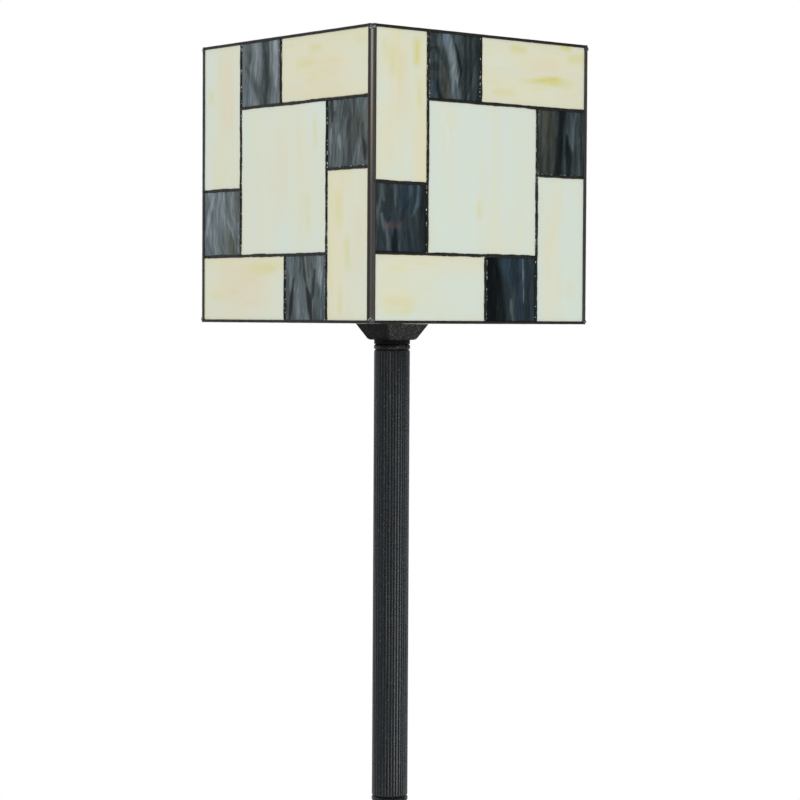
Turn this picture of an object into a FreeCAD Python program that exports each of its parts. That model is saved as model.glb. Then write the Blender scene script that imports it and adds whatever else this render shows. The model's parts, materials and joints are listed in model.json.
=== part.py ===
import FreeCAD, Part

import math
import os

# Floor lamp with a cube shade of leaded glass on a fluted pole and a stepped square base.
# Millimetres, +Z up. The origin is on the floor, under the middle of the pole.
# The front of the lamp faces -Y, and the cord inlet is at the back.

# Base
base_wall = 3.0              # wall of the cast cover
plinth_height = 24.0
plinth_ledge = 23.0          # how far the plinth stands out past the step
plinth_round = 4.0           # rounding along the plinth's top edge
step_height = 16.0
step_ledge = 22.0            # how far the step stands out past the foot of the sweep
step_round = 3.0
rise_radius = 56.0           # hollow sweep from the step up to the neck
neck_margin = 2.4            # how far the neck stands out past the cup on it
neck_height = 4.0
feet_height = 4.0
feet_radius = 14.0
feet_to_screw = 3.0          # bare plate between a foot and the nearest screw head
plate_thickness = 2.0
plate_clearance = 0.3
weight_thickness = 16.0
weight_clearance = 3.0       # around the weight, inside the second step
pocket_clearance = 9.0       # around the washer, in the pocket under the weight
screw_post_radius = 6.0
screw_radius = 1.9
screw_length = 12.0
screw_head_radius = 4.0
screw_head_height = 2.2
screw_clearance = 0.1

# Cord inlet at the back of the base, and the block that the leads meet in
gland_width = 14.0
gland_tail = 4.0             # sleeve inside the flange
gland_flange = 3.0           # how far the inner flange stands out past the notch
gland_flange_depth = 3.0
gland_bore_radius = 3.6
gland_clearance = 0.1
block_width = 20.0
block_depth = 28.0
block_height = 14.0
block_bore_radius = 2.0
block_pitch = 8.0
block_from_axis = 48.0

# Pole
pole_names = ["lower", "middle", "upper"]
pole_radius = 15.0           # over the lands between the flutes
pole_length = 373.6
pole_wall = 1.5              # metal left under a flute
pole_end_round = 1.2
flute_count = 36
flute_depth = 0.7
flute_share = 0.74           # part of each pitch that the flute takes, the rest is land
plug_depth = 14.0
plug_clearance = 0.1
ring_height = 5.0
ring_proud = 0.2             # how far a joint ring stands out past the pole
ring_round = 2.2

# Hollow threaded studs, with their nuts and washers
stud_radius = 4.9
stud_bore_radius = 3.5
stud_show = 1.0              # stud past the face of its nut
thread_clearance = 0.1
pass_clearance = 0.3         # around a stud in a plain hole
nut_wall = 2.6               # metal between the thread and a flat
nut_height = 6.0
washer_margin = 2.5          # washer past the nut's corners
washer_thickness = 2.0

# Square cups, one under the shade and one turned over on the base
cup_mouth_side = 43.2
cup_washer_clearance = 2.1   # around the washer on the cup's floor
cup_height = 13.4
cup_wall = 2.5
cup_floor = 3.0
cup_round = 3.2
boss_height = 3.4

# Shade of leaded glass
shade_side = 230.0           # width and depth over the metal
shade_height = 230.0
shade_gap = 0.5              # from the mouth of the cup to the bottom rim
glass_thickness = 3.0
lip_thickness = 1.0          # metal over the faces and edges of the glass
rim_height = 2.4
came_neck = 0.4              # metal between the two panels at a corner
came_lip = 0.6               # how far a corner came laps over the glass
came_fillet = 0.2            # solder inside a corner, past each side of a spider arm
came_round = 4.0
seam_width = 2.7
seam_heart = 0.8             # solder between the edges of two panes
seam_proud = 0.9
border_glass = 50.8          # glass that shows between the metal at an edge and a long seam
dark_glass = 52.0            # glass that shows along a dark pane
face_names = ["front", "right", "back", "left"]

# Lampholder
holder_neck_radius = 9.0
holder_neck_height = 6.0
holder_wall = 2.6
holder_floor = 3.0
cap_height = 22.0
insert_radius = 16.6
insert_height = 10.0
insert_share_in_cap = 5.0    # depth of the insert that sits in the cap
insert_clearance = 0.2
skirt_height = 33.0
skirt_wall = 2.95            # up to the crest of the thread that takes the shade ring
skirt_lip_height = 2.0
skirt_lip_clearance = 1.4    # around the screw shell, at the mouth of the skirt
flange_width = 3.75
flange_height = 3.0
shell_inset = 2.5            # from the rim of the insert to the screw shell
shell_wall = 0.6
shell_height = 24.0
contact_width = 5.0
contact_thickness = 0.5
contact_rise = 2.6
contact_reach = 6.0
holder_screw_radius = 1.6
holder_screw_height = 3.0
holder_screw_pitch = 15.0

# Shade ring and spider
ring_clearance = 0.3         # around the thread of the skirt
seat_gap = 0.1               # between flat faces that turn on each other
spider_thickness = 2.0
spider_margin = 2.5          # spider ring past the flange of the shade ring
arm_radius = 2.0
lock_flange_width = 2.0      # past the collar
lock_flange_height = 3.0
lock_wall = 3.45
lock_height = 10.0

# Bulb
bulb_clearance = 0.3         # around its screw cap, and over the centre contact
bulb_cap_height = 23.0
bulb_cap_wall = 0.5
bulb_button_radius = 4.5
bulb_button_height = 1.5
bulb_insulator_height = 2.5
bulb_radius = 22.5
bulb_shoulder = 1.0          # from the top of the neck to the bottom of the ball
bulb_glass = 1.0
bulb_neck_height = 5.0       # straight glass above the cap
bulb_neck_in_cap = 4.0
bulb_stem_radius = 4.0
bulb_stem_height = 22.0
bulb_rod_radius = 1.2
bulb_rod_height = 8.0
filament_radius = 0.45
filament_span = 16.0
filament_rise = 12.0
filament_sag = 3.0

# Lead inside the lamp
lead_clearance = 0.5         # around the lead, in the studs

# Heights that follow from the sizes above
z_plate_top = feet_height + plate_thickness
z_plinth_top = feet_height + plinth_height
z_step_top = z_plinth_top + step_height
z_rise_top = z_step_top + rise_radius
z_base_top = z_rise_top + neck_height
z_weight_top = z_step_top - base_wall
z_weight_bottom = z_weight_top - weight_thickness
z_base_stud = z_weight_bottom
z_base_nut = z_base_stud + stud_show
z_washer_seat = z_base_nut + nut_height + washer_thickness
z_gland_top = z_plinth_top - base_wall - gland_flange
cup_total = cup_height + boss_height
ring_heights = [z_base_top + cup_total + i * (ring_height + pole_length) for i in range(len(pole_names) + 1)]
pole_heights = [z + ring_height for z in ring_heights[:-1]]
z_pole_top = ring_heights[-1] + ring_height
z_cup_top = z_pole_top + cup_total
z_shade = z_cup_top + shade_gap
z_cup_floor = z_pole_top + boss_height + cup_floor
z_cup_nut = z_cup_floor + washer_thickness
z_holder = z_cup_nut + nut_height
z_cap_top = z_holder + cap_height
z_insert = z_cap_top - insert_share_in_cap
z_insert_top = z_insert + insert_height
z_flange_top = z_cap_top + flange_height
z_spider = z_flange_top + seat_gap
z_lock = z_spider + spider_thickness + seat_gap
z_skirt_top = z_cap_top + skirt_height
z_bulb = z_insert_top + contact_rise + contact_thickness + bulb_clearance

# Radii and half widths that follow
neck_half = cup_mouth_side / 2 + neck_margin
rise_foot = neck_half + rise_radius
step_half = rise_foot + step_ledge
plinth_half = step_half + plinth_ledge
post_at = (plinth_half + step_half) / 2 - base_wall
feet_at = post_at - (feet_radius + screw_head_radius + feet_to_screw) / math.sqrt(2)
pole_bore_radius = pole_radius - flute_depth - pole_wall
thread_radius = stud_radius + thread_clearance
hole_radius = stud_radius + pass_clearance
nut_across = 2 * (stud_radius + nut_wall)
washer_radius = nut_across / math.sqrt(3) + washer_margin
pocket_radius = washer_radius + pocket_clearance
lead_radius = stud_bore_radius - lead_clearance
gland_depth = base_wall + gland_flange_depth + gland_tail
cup_floor_inside = 2 * (washer_radius + cup_washer_clearance)
cup_slope = (cup_mouth_side - 2 * cup_wall - cup_floor_inside) / (cup_height - cup_floor)
cup_bottom_side = cup_mouth_side - cup_slope * cup_height
glass_inside = lip_thickness + glass_thickness
glass_setback = glass_inside + came_neck
came_width = glass_setback + came_lip
came_inner = glass_setback + math.sqrt(2) * (arm_radius + came_fillet)
skirt_bore_radius = insert_radius + insert_clearance
skirt_radius = skirt_bore_radius + skirt_wall
flange_radius = skirt_radius + flange_width
shell_radius = insert_radius - shell_inset
skirt_lip_radius = shell_radius + skirt_lip_clearance
ring_bore_radius = skirt_radius + ring_clearance
lock_collar_radius = ring_bore_radius + lock_wall
lock_flange_radius = lock_collar_radius + lock_flange_width
spider_radius = lock_flange_radius + spider_margin
bulb_cap_radius = shell_radius - shell_wall - bulb_clearance
bulb_neck_radius = bulb_cap_radius - bulb_cap_wall - bulb_clearance
z_bulb_cap = z_bulb + bulb_button_height + bulb_insulator_height
z_bulb_cap_top = z_bulb_cap + bulb_cap_height
z_bulb_neck = z_bulb_cap_top - bulb_neck_in_cap
z_bulb_neck_top = z_bulb_cap_top + bulb_neck_height
z_bulb_centre = z_bulb_neck_top + bulb_shoulder + bulb_radius
z_block_bore = z_plate_top + block_height / 2

Z_AXIS = FreeCAD.Vector(0, 0, 1)
ORIGIN = FreeCAD.Vector(0, 0, 0)


def vec(x, y, z=0.0):
    return FreeCAD.Vector(x, y, z)


def slab(x0, x1, y0, y1, z0, z1):
    return Part.makeBox(x1 - x0, y1 - y0, z1 - z0, vec(x0, y0, z0))


def square_slab(half, z0, z1):
    return slab(-half, half, -half, half, z0, z1)


def disc(radius, z0, z1, x=0.0, y=0.0):
    return Part.makeCylinder(radius, z1 - z0, vec(x, y, z0))


def pipe(outer, inner, z0, z1):
    return disc(outer, z0, z1).cut(disc(inner, z0, z1))


def line(a, b):
    return Part.LineSegment(a, b).toShape()


def arc(a, middle, b):
    return Part.Arc(a, middle, b).toShape()


def polygon_face(points):
    return Part.Face(Part.makePolygon(points + [points[0]]))


def turned(outline):
    # Solid of revolution about Z from edges in the XZ plane
    return Part.Face(Part.Wire(outline)).revolve(ORIGIN, Z_AXIS, 360)


def turned_points(points):
    # Solid of revolution about Z from (radius, height) corners
    return polygon_face([vec(r, 0, z) for r, z in points]).revolve(ORIGIN, Z_AXIS, 360)


def quarter(centre_x, centre_z, radius, start, end):
    # Arc in the XZ plane, angles in degrees from +X towards +Z
    def at(angle):
        a = math.radians(angle)
        return vec(centre_x + radius * math.cos(a), 0, centre_z + radius * math.sin(a))
    return arc(at(start), at((start + end) / 2), at(end))


def around(shape, angle):
    copy = shape.copy()
    copy.rotate(ORIGIN, Z_AXIS, angle)
    return copy


def at_corners(shape):
    return [around(shape, angle) for angle in (0, 90, 180, 270)]


def hexagon(across, z0, z1):
    corner = across / math.sqrt(3)
    turns = [math.radians(60 * i) for i in range(6)]
    points = [vec(corner * math.cos(a), corner * math.sin(a), z0) for a in turns]
    return polygon_face(points).extrude(vec(0, 0, z1 - z0))


def pyramid(z0, side0, z1, side1):
    # Square frustum between two levels
    corners = [(-1, -1), (1, -1), (1, 1), (-1, 1), (-1, -1)]
    wires = []
    for z, side in ((z0, side0), (z1, side1)):
        wires.append(Part.makePolygon([vec(x * side / 2, y * side / 2, z) for x, y in corners]))
    return Part.makeLoft(wires, True, True)


# Base

def square_moulding(half_outline, reach):
    # Moulding that runs round a square: the same outline drawn across X and across Y
    other_side = [edge.mirror(ORIGIN, vec(1, 0, 0)) for edge in half_outline]
    face = Part.Face(Part.Wire(Part.__sortEdges__(half_outline + other_side)))
    across_x = face.extrude(vec(0, 2 * reach, 0))
    across_x.translate(vec(0, -reach, 0))
    return across_x.common(around(across_x, 90))


def cover_outline():
    p, s, n = plinth_half, step_half, neck_half
    return [
        line(vec(0, 0, feet_height), vec(p, 0, feet_height)),
        line(vec(p, 0, feet_height), vec(p, 0, z_plinth_top - plinth_round)),
        quarter(p - plinth_round, z_plinth_top - plinth_round, plinth_round, 0, 90),
        line(vec(p - plinth_round, 0, z_plinth_top), vec(s, 0, z_plinth_top)),
        line(vec(s, 0, z_plinth_top), vec(s, 0, z_step_top - step_round)),
        quarter(s - step_round, z_step_top - step_round, step_round, 0, 90),
        line(vec(s - step_round, 0, z_step_top), vec(rise_foot, 0, z_step_top)),
        quarter(rise_foot, z_rise_top, rise_radius, 270, 180),
        line(vec(n, 0, z_rise_top), vec(n, 0, z_base_top)),
        line(vec(n, 0, z_base_top), vec(0, 0, z_base_top)),
    ]


def cavity_outline():
    p, s, n = plinth_half - base_wall, step_half - base_wall, neck_half - base_wall
    ceiling = z_plinth_top - base_wall
    roof = z_base_top - base_wall
    return [
        line(vec(0, 0, feet_height), vec(p, 0, feet_height)),
        line(vec(p, 0, feet_height), vec(p, 0, ceiling)),
        line(vec(p, 0, ceiling), vec(s, 0, ceiling)),
        line(vec(s, 0, ceiling), vec(s, 0, z_weight_top)),
        line(vec(s, 0, z_weight_top), vec(rise_foot, 0, z_weight_top)),
        quarter(rise_foot, z_rise_top, rise_radius + base_wall, 270, 180),
        line(vec(n, 0, z_rise_top), vec(n, 0, roof)),
        line(vec(n, 0, roof), vec(0, 0, roof)),
    ]


def gland_notch():
    half = gland_width / 2 + gland_clearance
    return slab(-half, half, plinth_half - base_wall, plinth_half, feet_height, z_gland_top + gland_clearance)


def base_cover():
    cover = square_moulding(cover_outline(), plinth_half)
    cover = cover.cut(square_moulding(cavity_outline(), plinth_half))
    ceiling = z_plinth_top - base_wall
    post = disc(screw_post_radius, z_plate_top, ceiling, post_at, post_at)
    hole = disc(screw_radius + screw_clearance, z_plate_top, feet_height + screw_length, post_at, post_at)
    cover = cover.fuse(at_corners(post)).cut(at_corners(hole))
    return cover.cut([disc(hole_radius, z_rise_top, z_base_top), gland_notch()])


def base_plate():
    plate = square_slab(plinth_half - base_wall - plate_clearance, feet_height, z_plate_top)
    hole = disc(screw_radius + screw_clearance, feet_height, z_plate_top, post_at, post_at)
    return plate.cut(at_corners(hole))


def base_feet():
    return at_corners(disc(feet_radius, 0, feet_height, feet_at, feet_at))


def base_screws():
    head = disc(screw_head_radius, feet_height - screw_head_height, feet_height, post_at, post_at)
    shank = disc(screw_radius, feet_height, feet_height + screw_length, post_at, post_at)
    return at_corners(head.fuse(shank))


def base_weight():
    half = step_half - base_wall - weight_clearance
    block = square_slab(half, z_weight_bottom, z_weight_top)
    pocket = disc(pocket_radius, z_weight_bottom, z_washer_seat)
    return block.cut([pocket, disc(hole_radius, z_washer_seat, z_weight_top)])


def cord_gland():
    half = gland_width / 2
    inner = plinth_half - base_wall - gland_flange_depth
    tail = plinth_half - gland_depth
    body = slab(-half, half, plinth_half - base_wall, plinth_half, feet_height, z_gland_top)
    wide = half + gland_flange
    flange = slab(-wide, wide, inner, plinth_half - base_wall, z_plate_top, z_gland_top + gland_flange)
    sleeve = slab(-half, half, tail, inner, z_plate_top, z_gland_top)
    bore = Part.makeCylinder(gland_bore_radius, gland_depth, vec(0, tail, z_block_bore), vec(0, 1, 0))
    return body.fuse([flange, sleeve]).cut(bore)


def terminal_block():
    half = block_width / 2
    end = block_from_axis + block_depth
    block = slab(-half, half, block_from_axis, end, z_plate_top, z_plate_top + block_height)
    # The bores open towards the inlet, and stop at a web that the inner lead meets
    deep = block_depth / 2
    start = end - deep
    bores = []
    for side in (-1, 1):
        place = vec(side * block_pitch / 2, start, z_block_bore)
        bores.append(Part.makeCylinder(block_bore_radius, deep, place, vec(0, 1, 0)))
    return block.cut(bores)


# Pole

def fluted_section(z0, z1):
    pitch = 2 * math.pi / flute_count
    half_flute = pitch * flute_share / 2

    def at(radius, angle):
        return vec(radius * math.cos(angle), radius * math.sin(angle), z0)
    edges = []
    for i in range(flute_count):
        middle = i * pitch
        start, end, after = middle - half_flute, middle + half_flute, middle + pitch - half_flute
        edges.append(arc(at(pole_radius, start), at(pole_radius - flute_depth, middle), at(pole_radius, end)))
        edges.append(arc(at(pole_radius, end), at(pole_radius, (end + after) / 2), at(pole_radius, after)))
    return Part.Face(Part.Wire(edges)).extrude(vec(0, 0, z1 - z0))


def pole(z0):
    z1 = z0 + pole_length
    blank = disc(pole_radius, z0, z1)
    rims = [e for e in blank.Edges if isinstance(e.Curve, Part.Circle)]
    rounded = blank.makeFillet(pole_end_round, rims)
    return fluted_section(z0, z1).common(rounded).cut(disc(pole_bore_radius, z0, z1))


def pole_plugs(z0):
    radius = pole_bore_radius - plug_clearance
    z1 = z0 + pole_length
    ends = [(z0, z0 + plug_depth), (z1 - plug_depth, z1)]
    return [pipe(radius, thread_radius, low, high) for low, high in ends]


def joint_ring(z0):
    ring = disc(pole_radius + ring_proud, z0, z0 + ring_height)
    rims = [e for e in ring.Edges if isinstance(e.Curve, Part.Circle)]
    return ring.makeFillet(ring_round, rims).cut(disc(thread_radius, z0, z0 + ring_height))


def stud(z0, z1):
    return pipe(stud_radius, stud_bore_radius, z0, z1)


def washer(z0):
    return pipe(washer_radius, hole_radius, z0, z0 + washer_thickness)


def nut(z0):
    return hexagon(nut_across, z0, z0 + nut_height).cut(disc(thread_radius, z0, z0 + nut_height))


# Cups

def cup():
    # Boss down, its bottom face at zero
    body = pyramid(boss_height, cup_bottom_side, cup_total, cup_mouth_side)
    low = [e for e in body.Edges if e.BoundBox.ZMax < boss_height + cup_floor]
    body = body.makeFillet(cup_round, low)
    hollow = pyramid(boss_height + cup_floor, cup_floor_inside, cup_total, cup_mouth_side - 2 * cup_wall)
    boss = disc(pole_radius, 0, boss_height + cup_round)
    return body.fuse(boss).cut([hollow, disc(hole_radius, 0, cup_total)])


def fitter_cup():
    shape = cup()
    shape.translate(vec(0, 0, z_pole_top))
    return shape


def base_cup():
    shape = cup()
    shape.rotate(ORIGIN, vec(1, 0, 0), 180)
    shape.translate(vec(0, 0, z_base_top + cup_total))
    return shape


# Lampholder

def holder_cap():
    outer = insert_radius + insert_clearance + holder_wall
    chamber = insert_radius - holder_wall
    z_neck = z_holder + holder_neck_height
    z_chamber = z_neck + holder_floor
    body = turned_points([(0, z_holder), (holder_neck_radius, z_holder), (holder_neck_radius, z_neck),
                          (outer, z_insert), (outer, z_cap_top), (0, z_cap_top)])
    hollow = turned_points([(0, z_chamber), (holder_neck_radius, z_chamber), (chamber, z_insert),
                            (skirt_bore_radius, z_insert), (skirt_bore_radius, z_cap_top), (0, z_cap_top)])
    return body.cut([hollow, disc(thread_radius, z_holder, z_chamber)])


def holder_insert():
    return disc(insert_radius, z_insert, z_insert_top)


def holder_screws():
    at = [-holder_screw_pitch / 2, holder_screw_pitch / 2]
    return [disc(holder_screw_radius, z_insert - holder_screw_height, z_insert, x) for x in at]


def holder_skirt():
    z_lip = z_skirt_top - skirt_lip_height
    body = disc(skirt_radius, z_cap_top, z_skirt_top).fuse(disc(flange_radius, z_cap_top, z_flange_top))
    return body.cut([disc(skirt_bore_radius, z_cap_top, z_lip), disc(skirt_lip_radius, z_lip, z_skirt_top)])


def holder_shell():
    return pipe(shell_radius, shell_radius - shell_wall, z_insert_top, z_insert_top + shell_height)


def holder_contact():
    # Springy tongue: a foot on the insert that rises to a pad under the middle of the bulb
    t, half = contact_thickness, contact_width / 2
    x0, x1 = -contact_reach, contact_reach
    bend = x0 + contact_reach / 2
    z0, z1 = z_insert_top, z_insert_top + contact_rise
    under = [(x0, z0), (bend, z0), (0, z1), (x1 / 2, z1)]
    over = [(x1 / 2, z1 + t), (-t, z1 + t), (bend - t, z0 + t), (x0, z0 + t)]
    points = under + over
    return polygon_face([vec(x, -half, z) for x, z in points]).extrude(vec(0, contact_width, 0))


def shade_ring():
    body = disc(lock_flange_radius, z_lock, z_lock + lock_flange_height)
    body = body.fuse(disc(lock_collar_radius, z_lock, z_lock + lock_height))
    return body.cut(disc(ring_bore_radius, z_lock, z_lock + lock_height))


# Bulb

def bulb_cap():
    return pipe(bulb_cap_radius, bulb_cap_radius - bulb_cap_wall, z_bulb_cap, z_bulb_cap_top)


def bulb_insulator():
    z0 = z_bulb + bulb_button_height
    return turned_points([(0, z0), (bulb_button_radius, z0), (bulb_cap_radius, z_bulb_cap), (0, z_bulb_cap)])


def bulb_button():
    return disc(bulb_button_radius, z_bulb, z_bulb + bulb_button_height)


def envelope_blank(ball_radius, neck_radius):
    # Ball on a straight neck, joined by a cone that touches the ball
    rise = z_bulb_centre - z_bulb_neck_top
    reach = math.hypot(rise, neck_radius)
    lean = math.atan2(neck_radius, rise)
    touch = math.acos(ball_radius / reach) + lean
    side = math.pi / 2 - touch

    def on_ball(angle):
        return vec(ball_radius * math.cos(angle), 0, z_bulb_centre + ball_radius * math.sin(angle))
    tangent = on_ball(-side)
    top = on_ball(math.pi / 2)
    return turned([
        line(vec(0, 0, z_bulb_neck), vec(neck_radius, 0, z_bulb_neck)),
        line(vec(neck_radius, 0, z_bulb_neck), vec(neck_radius, 0, z_bulb_neck_top)),
        line(vec(neck_radius, 0, z_bulb_neck_top), tangent),
        arc(tangent, on_ball((math.pi / 2 - side) / 2), top),
        line(top, vec(0, 0, z_bulb_neck)),
    ])


def bulb_envelope():
    return envelope_blank(bulb_radius, bulb_neck_radius).cut(
        envelope_blank(bulb_radius - bulb_glass, bulb_neck_radius - bulb_glass))


def bulb_stem():
    flare = bulb_neck_radius - bulb_glass - bulb_clearance
    z0 = z_bulb_neck
    z1 = z0 + bulb_stem_height
    z2 = z1 + bulb_rod_height
    foot = [(0, z0), (flare, z0), (flare, z0 + bulb_glass), (bulb_stem_radius, z0 + bulb_stem_radius)]
    top = [(bulb_stem_radius, z1), (bulb_rod_radius, z1), (bulb_rod_radius, z2), (0, z2)]
    return turned_points(foot + top)


def rod(a, b, radius):
    return Part.makeCylinder(radius, (b - a).Length, a, b - a).fuse(Part.makeSphere(radius, b))


def bulb_filament():
    # Two lead wires out of the stem carry a coil that hangs in two bays
    z0 = z_bulb_neck + bulb_stem_height
    foot = bulb_stem_radius - 2 * filament_radius
    half = filament_span / 2
    z1 = z0 + filament_rise
    z_bay = z1 - filament_sag
    quarter_span = half / 2
    points = [vec(-foot, 0, z0), vec(-half, 0, z1), vec(-quarter_span, 0, z_bay), vec(0, 0, z1),
              vec(quarter_span, 0, z_bay), vec(half, 0, z1), vec(foot, 0, z0)]
    runs = [rod(a, b, filament_radius) for a, b in zip(points, points[1:])]
    trim = disc(bulb_stem_radius, z0 - bulb_rod_height, z0)
    return runs[0].fuse(runs[1:]).cut(trim)


# Lead inside the lamp

def inner_lead():
    # Along the plate from the block, round one bend, and up the pole to the lampholder
    bend = z_base_stud - z_block_bore
    flat = Part.makeCylinder(lead_radius, block_from_axis - bend, vec(0, bend, z_block_bore), vec(0, 1, 0))
    section = Part.Face(Part.Wire(Part.makeCircle(lead_radius, vec(0, 0, z_base_stud))))
    elbow = section.revolve(vec(0, bend, z_base_stud), vec(1, 0, 0), 90)
    upright = disc(lead_radius, z_base_stud, z_insert)
    return upright.fuse([elbow, flat])


# Shade

def corner_came():
    # Front left corner, drawn from the outer corner inwards
    w, t, g, d, q = came_width, lip_thickness, glass_setback, glass_inside, came_inner
    r = came_round
    corner = r - r / math.sqrt(2)
    points = [(r, 0), (w, 0), (w, t), (g, t), (g, d), (q, d), (d, q), (d, g), (t, g), (t, w), (0, w), (0, r)]
    spots = [vec(x - shade_side / 2, y - shade_side / 2, z_shade) for x, y in points]
    edges = [line(a, b) for a, b in zip(spots, spots[1:])]
    edges.append(arc(spots[-1], vec(corner - shade_side / 2, corner - shade_side / 2, z_shade), spots[0]))
    return Part.Face(Part.Wire(edges)).extrude(vec(0, 0, shade_height))


def on_front(u0, u1, depth0, depth1, v0, v1):
    # Slab in the front face: u from its left edge, v down from its top, depth in from the outer plane
    left, outer, top = -shade_side / 2, -shade_side / 2, z_shade + shade_height
    return slab(left + u0, left + u1, outer + depth0, outer + depth1, top - v1, top - v0)


def front_rim(at_top):
    t = lip_thickness
    deep = glass_inside + t
    edge, inner = (0.0, rim_height) if at_top else (shade_height - rim_height, shade_height)
    channel = on_front(glass_setback, shade_side - glass_setback, 0, deep, edge, inner)
    groove = (t, rim_height) if at_top else (shade_height - rim_height, shade_height - t)
    return channel.cut(on_front(0, shade_side, t, glass_inside, *groove)).cut(corner_cames())


# Places of the seams on one face, from its left edge and down from its top
dark_pitch = dark_glass + seam_width
seam_left = came_width + border_glass + seam_width / 2
seam_right = shade_side - seam_left
seam_top = rim_height + border_glass + seam_width / 2
seam_bottom = shade_height - seam_top
seam_top_mid = seam_left + dark_pitch
seam_bottom_mid = seam_right - dark_pitch
seam_right_mid = seam_top + dark_pitch
seam_left_mid = seam_bottom - dark_pitch

# Panes as left, right, top and bottom seams. They turn round the middle one like a pinwheel.
cream_panes = [
    (0, seam_left, 0, seam_left_mid),
    (seam_top_mid, shade_side, 0, seam_top),
    (seam_left, seam_right, seam_top, seam_bottom),
    (seam_right, shade_side, seam_right_mid, shade_height),
    (0, seam_bottom_mid, seam_bottom, shade_height),
]
dark_panes = [
    (seam_left, seam_top_mid, 0, seam_top),
    (seam_right, shade_side, seam_top, seam_right_mid),
    (seam_bottom_mid, seam_right, seam_bottom, shade_height),
    (0, seam_left, seam_left_mid, seam_bottom),
]
upright_seams = [
    (seam_left, 0, seam_bottom),
    (seam_right, seam_top, shade_height),
    (seam_top_mid, 0, seam_top),
    (seam_bottom_mid, seam_bottom, shade_height),
]
level_seams = [
    (seam_top, seam_left, shade_side),
    (seam_bottom, 0, seam_right),
    (seam_right_mid, seam_right, shade_side),
    (seam_left_mid, 0, seam_left),
]


def pane(left, right, top, bottom):
    h = seam_heart / 2
    u0 = glass_setback if left == 0 else left + h
    u1 = shade_side - glass_setback if right == shade_side else right - h
    v0 = lip_thickness if top == 0 else top + h
    v1 = shade_height - lip_thickness if bottom == shade_height else bottom - h
    return on_front(u0, u1, lip_thickness, glass_inside, v0, v1)


def front_seams(frame):
    strips = []
    outer = lip_thickness - seam_proud
    inner = glass_inside + seam_proud
    layers = [(seam_width / 2, outer, lip_thickness), (seam_heart / 2, lip_thickness, glass_inside),
              (seam_width / 2, glass_inside, inner)]
    for half, d0, d1 in layers:
        for u, v0, v1 in upright_seams:
            start, end = max(v0 - half, lip_thickness), min(v1 + half, shade_height - lip_thickness)
            strips.append(on_front(u - half, u + half, d0, d1, start, end))
        for v, u0, u1 in level_seams:
            start, end = max(u0 - half, glass_setback), min(u1 + half, shade_side - glass_setback)
            strips.append(on_front(start, end, d0, d1, v - half, v + half))
    return strips[0].multiFuse(strips[1:]).cut(frame).removeSplitter()


def corner_cames():
    return at_corners(corner_came())


def spider_ring():
    return pipe(spider_radius, ring_bore_radius, z_spider, z_spider + spider_thickness)


def spider_arms():
    end = (shade_side - came_inner - glass_inside) / math.sqrt(2)
    z = z_spider + spider_thickness / 2
    along = vec(-1, -1, 0).normalize()
    bar = Part.makeCylinder(arm_radius, end, vec(0, 0, z), along)
    return at_corners(bar.cut(disc(spider_radius, z - arm_radius, z + arm_radius)))


def sub_parts():
    parts = {
        "base_feet": base_feet(),
        "base_plate": base_plate(),
        "base_screws": base_screws(),
        "base_cover": base_cover(),
        "base_weight": base_weight(),
        "base_washer": washer(z_washer_seat - washer_thickness),
        "base_nut": nut(z_base_nut),
        "base_stud": stud(z_base_stud, pole_heights[0] + plug_depth),
        "base_cup": base_cup(),
        "cord_gland": cord_gland(),
        "terminal_block": terminal_block(),
        "inner_lead": inner_lead(),
        "fitter_cup": fitter_cup(),
        "cup_washer": washer(z_cup_floor),
        "cup_nut": nut(z_cup_nut),
        "top_stud": stud(ring_heights[-1] - plug_depth, z_holder + holder_neck_height),
        "holder_cap": holder_cap(),
        "holder_insert": holder_insert(),
        "holder_screws": holder_screws(),
        "holder_skirt": holder_skirt(),
        "holder_shell": holder_shell(),
        "holder_contact": holder_contact(),
        "shade_ring": shade_ring(),
        "bulb_cap": bulb_cap(),
        "bulb_insulator": bulb_insulator(),
        "bulb_button": bulb_button(),
        "bulb_envelope": bulb_envelope(),
        "bulb_stem": bulb_stem(),
        "bulb_filament": bulb_filament(),
        "spider_ring": spider_ring(),
        "spider_arms": spider_arms(),
        "corner_cames": corner_cames(),
        "top_rim": at_corners(front_rim(True)),
        "bottom_rim": at_corners(front_rim(False)),
    }
    for name, z in zip(pole_names, pole_heights):
        parts[name + "_pole"] = pole(z)
        parts[name + "_pole_plugs"] = pole_plugs(z)
    for name, z in zip(["base"] + pole_names[:-1] + ["top"], ring_heights):
        parts[name + "_joint_ring"] = joint_ring(z)
    for name, z in zip(pole_names, ring_heights[1:-1]):
        parts[name + "_joint_stud"] = stud(z - plug_depth, z + ring_height + plug_depth)
    frame = corner_cames() + [front_rim(True), front_rim(False)]
    seams = front_seams(frame)
    cream = [pane(*edges) for edges in cream_panes]
    dark = [pane(*edges) for edges in dark_panes]
    for i, name in enumerate(face_names):
        parts[name + "_seams"] = around(seams, 90 * i)
        parts[name + "_cream_panes"] = [around(glass, 90 * i) for glass in cream]
        parts[name + "_dark_panes"] = [around(glass, 90 * i) for glass in dark]
    return parts


os.makedirs("parts", exist_ok=True)
for node, shape in sub_parts().items():
    solids = shape if isinstance(shape, list) else [shape]
    solids = [solid for item in solids for solid in item.Solids]
    whole = solids[0] if len(solids) == 1 else Part.makeCompound(solids)
    state = "valid" if whole.isValid() else "broken"
    print(node, len(solids), "solids", state, round(whole.Volume / 1000, 2), "cm3")
    whole.exportStep(os.path.join("parts", node + ".step"))
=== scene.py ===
import json
import math
import random
import bmesh
import bpy
from mathutils import Matrix, Vector, noise


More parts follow.
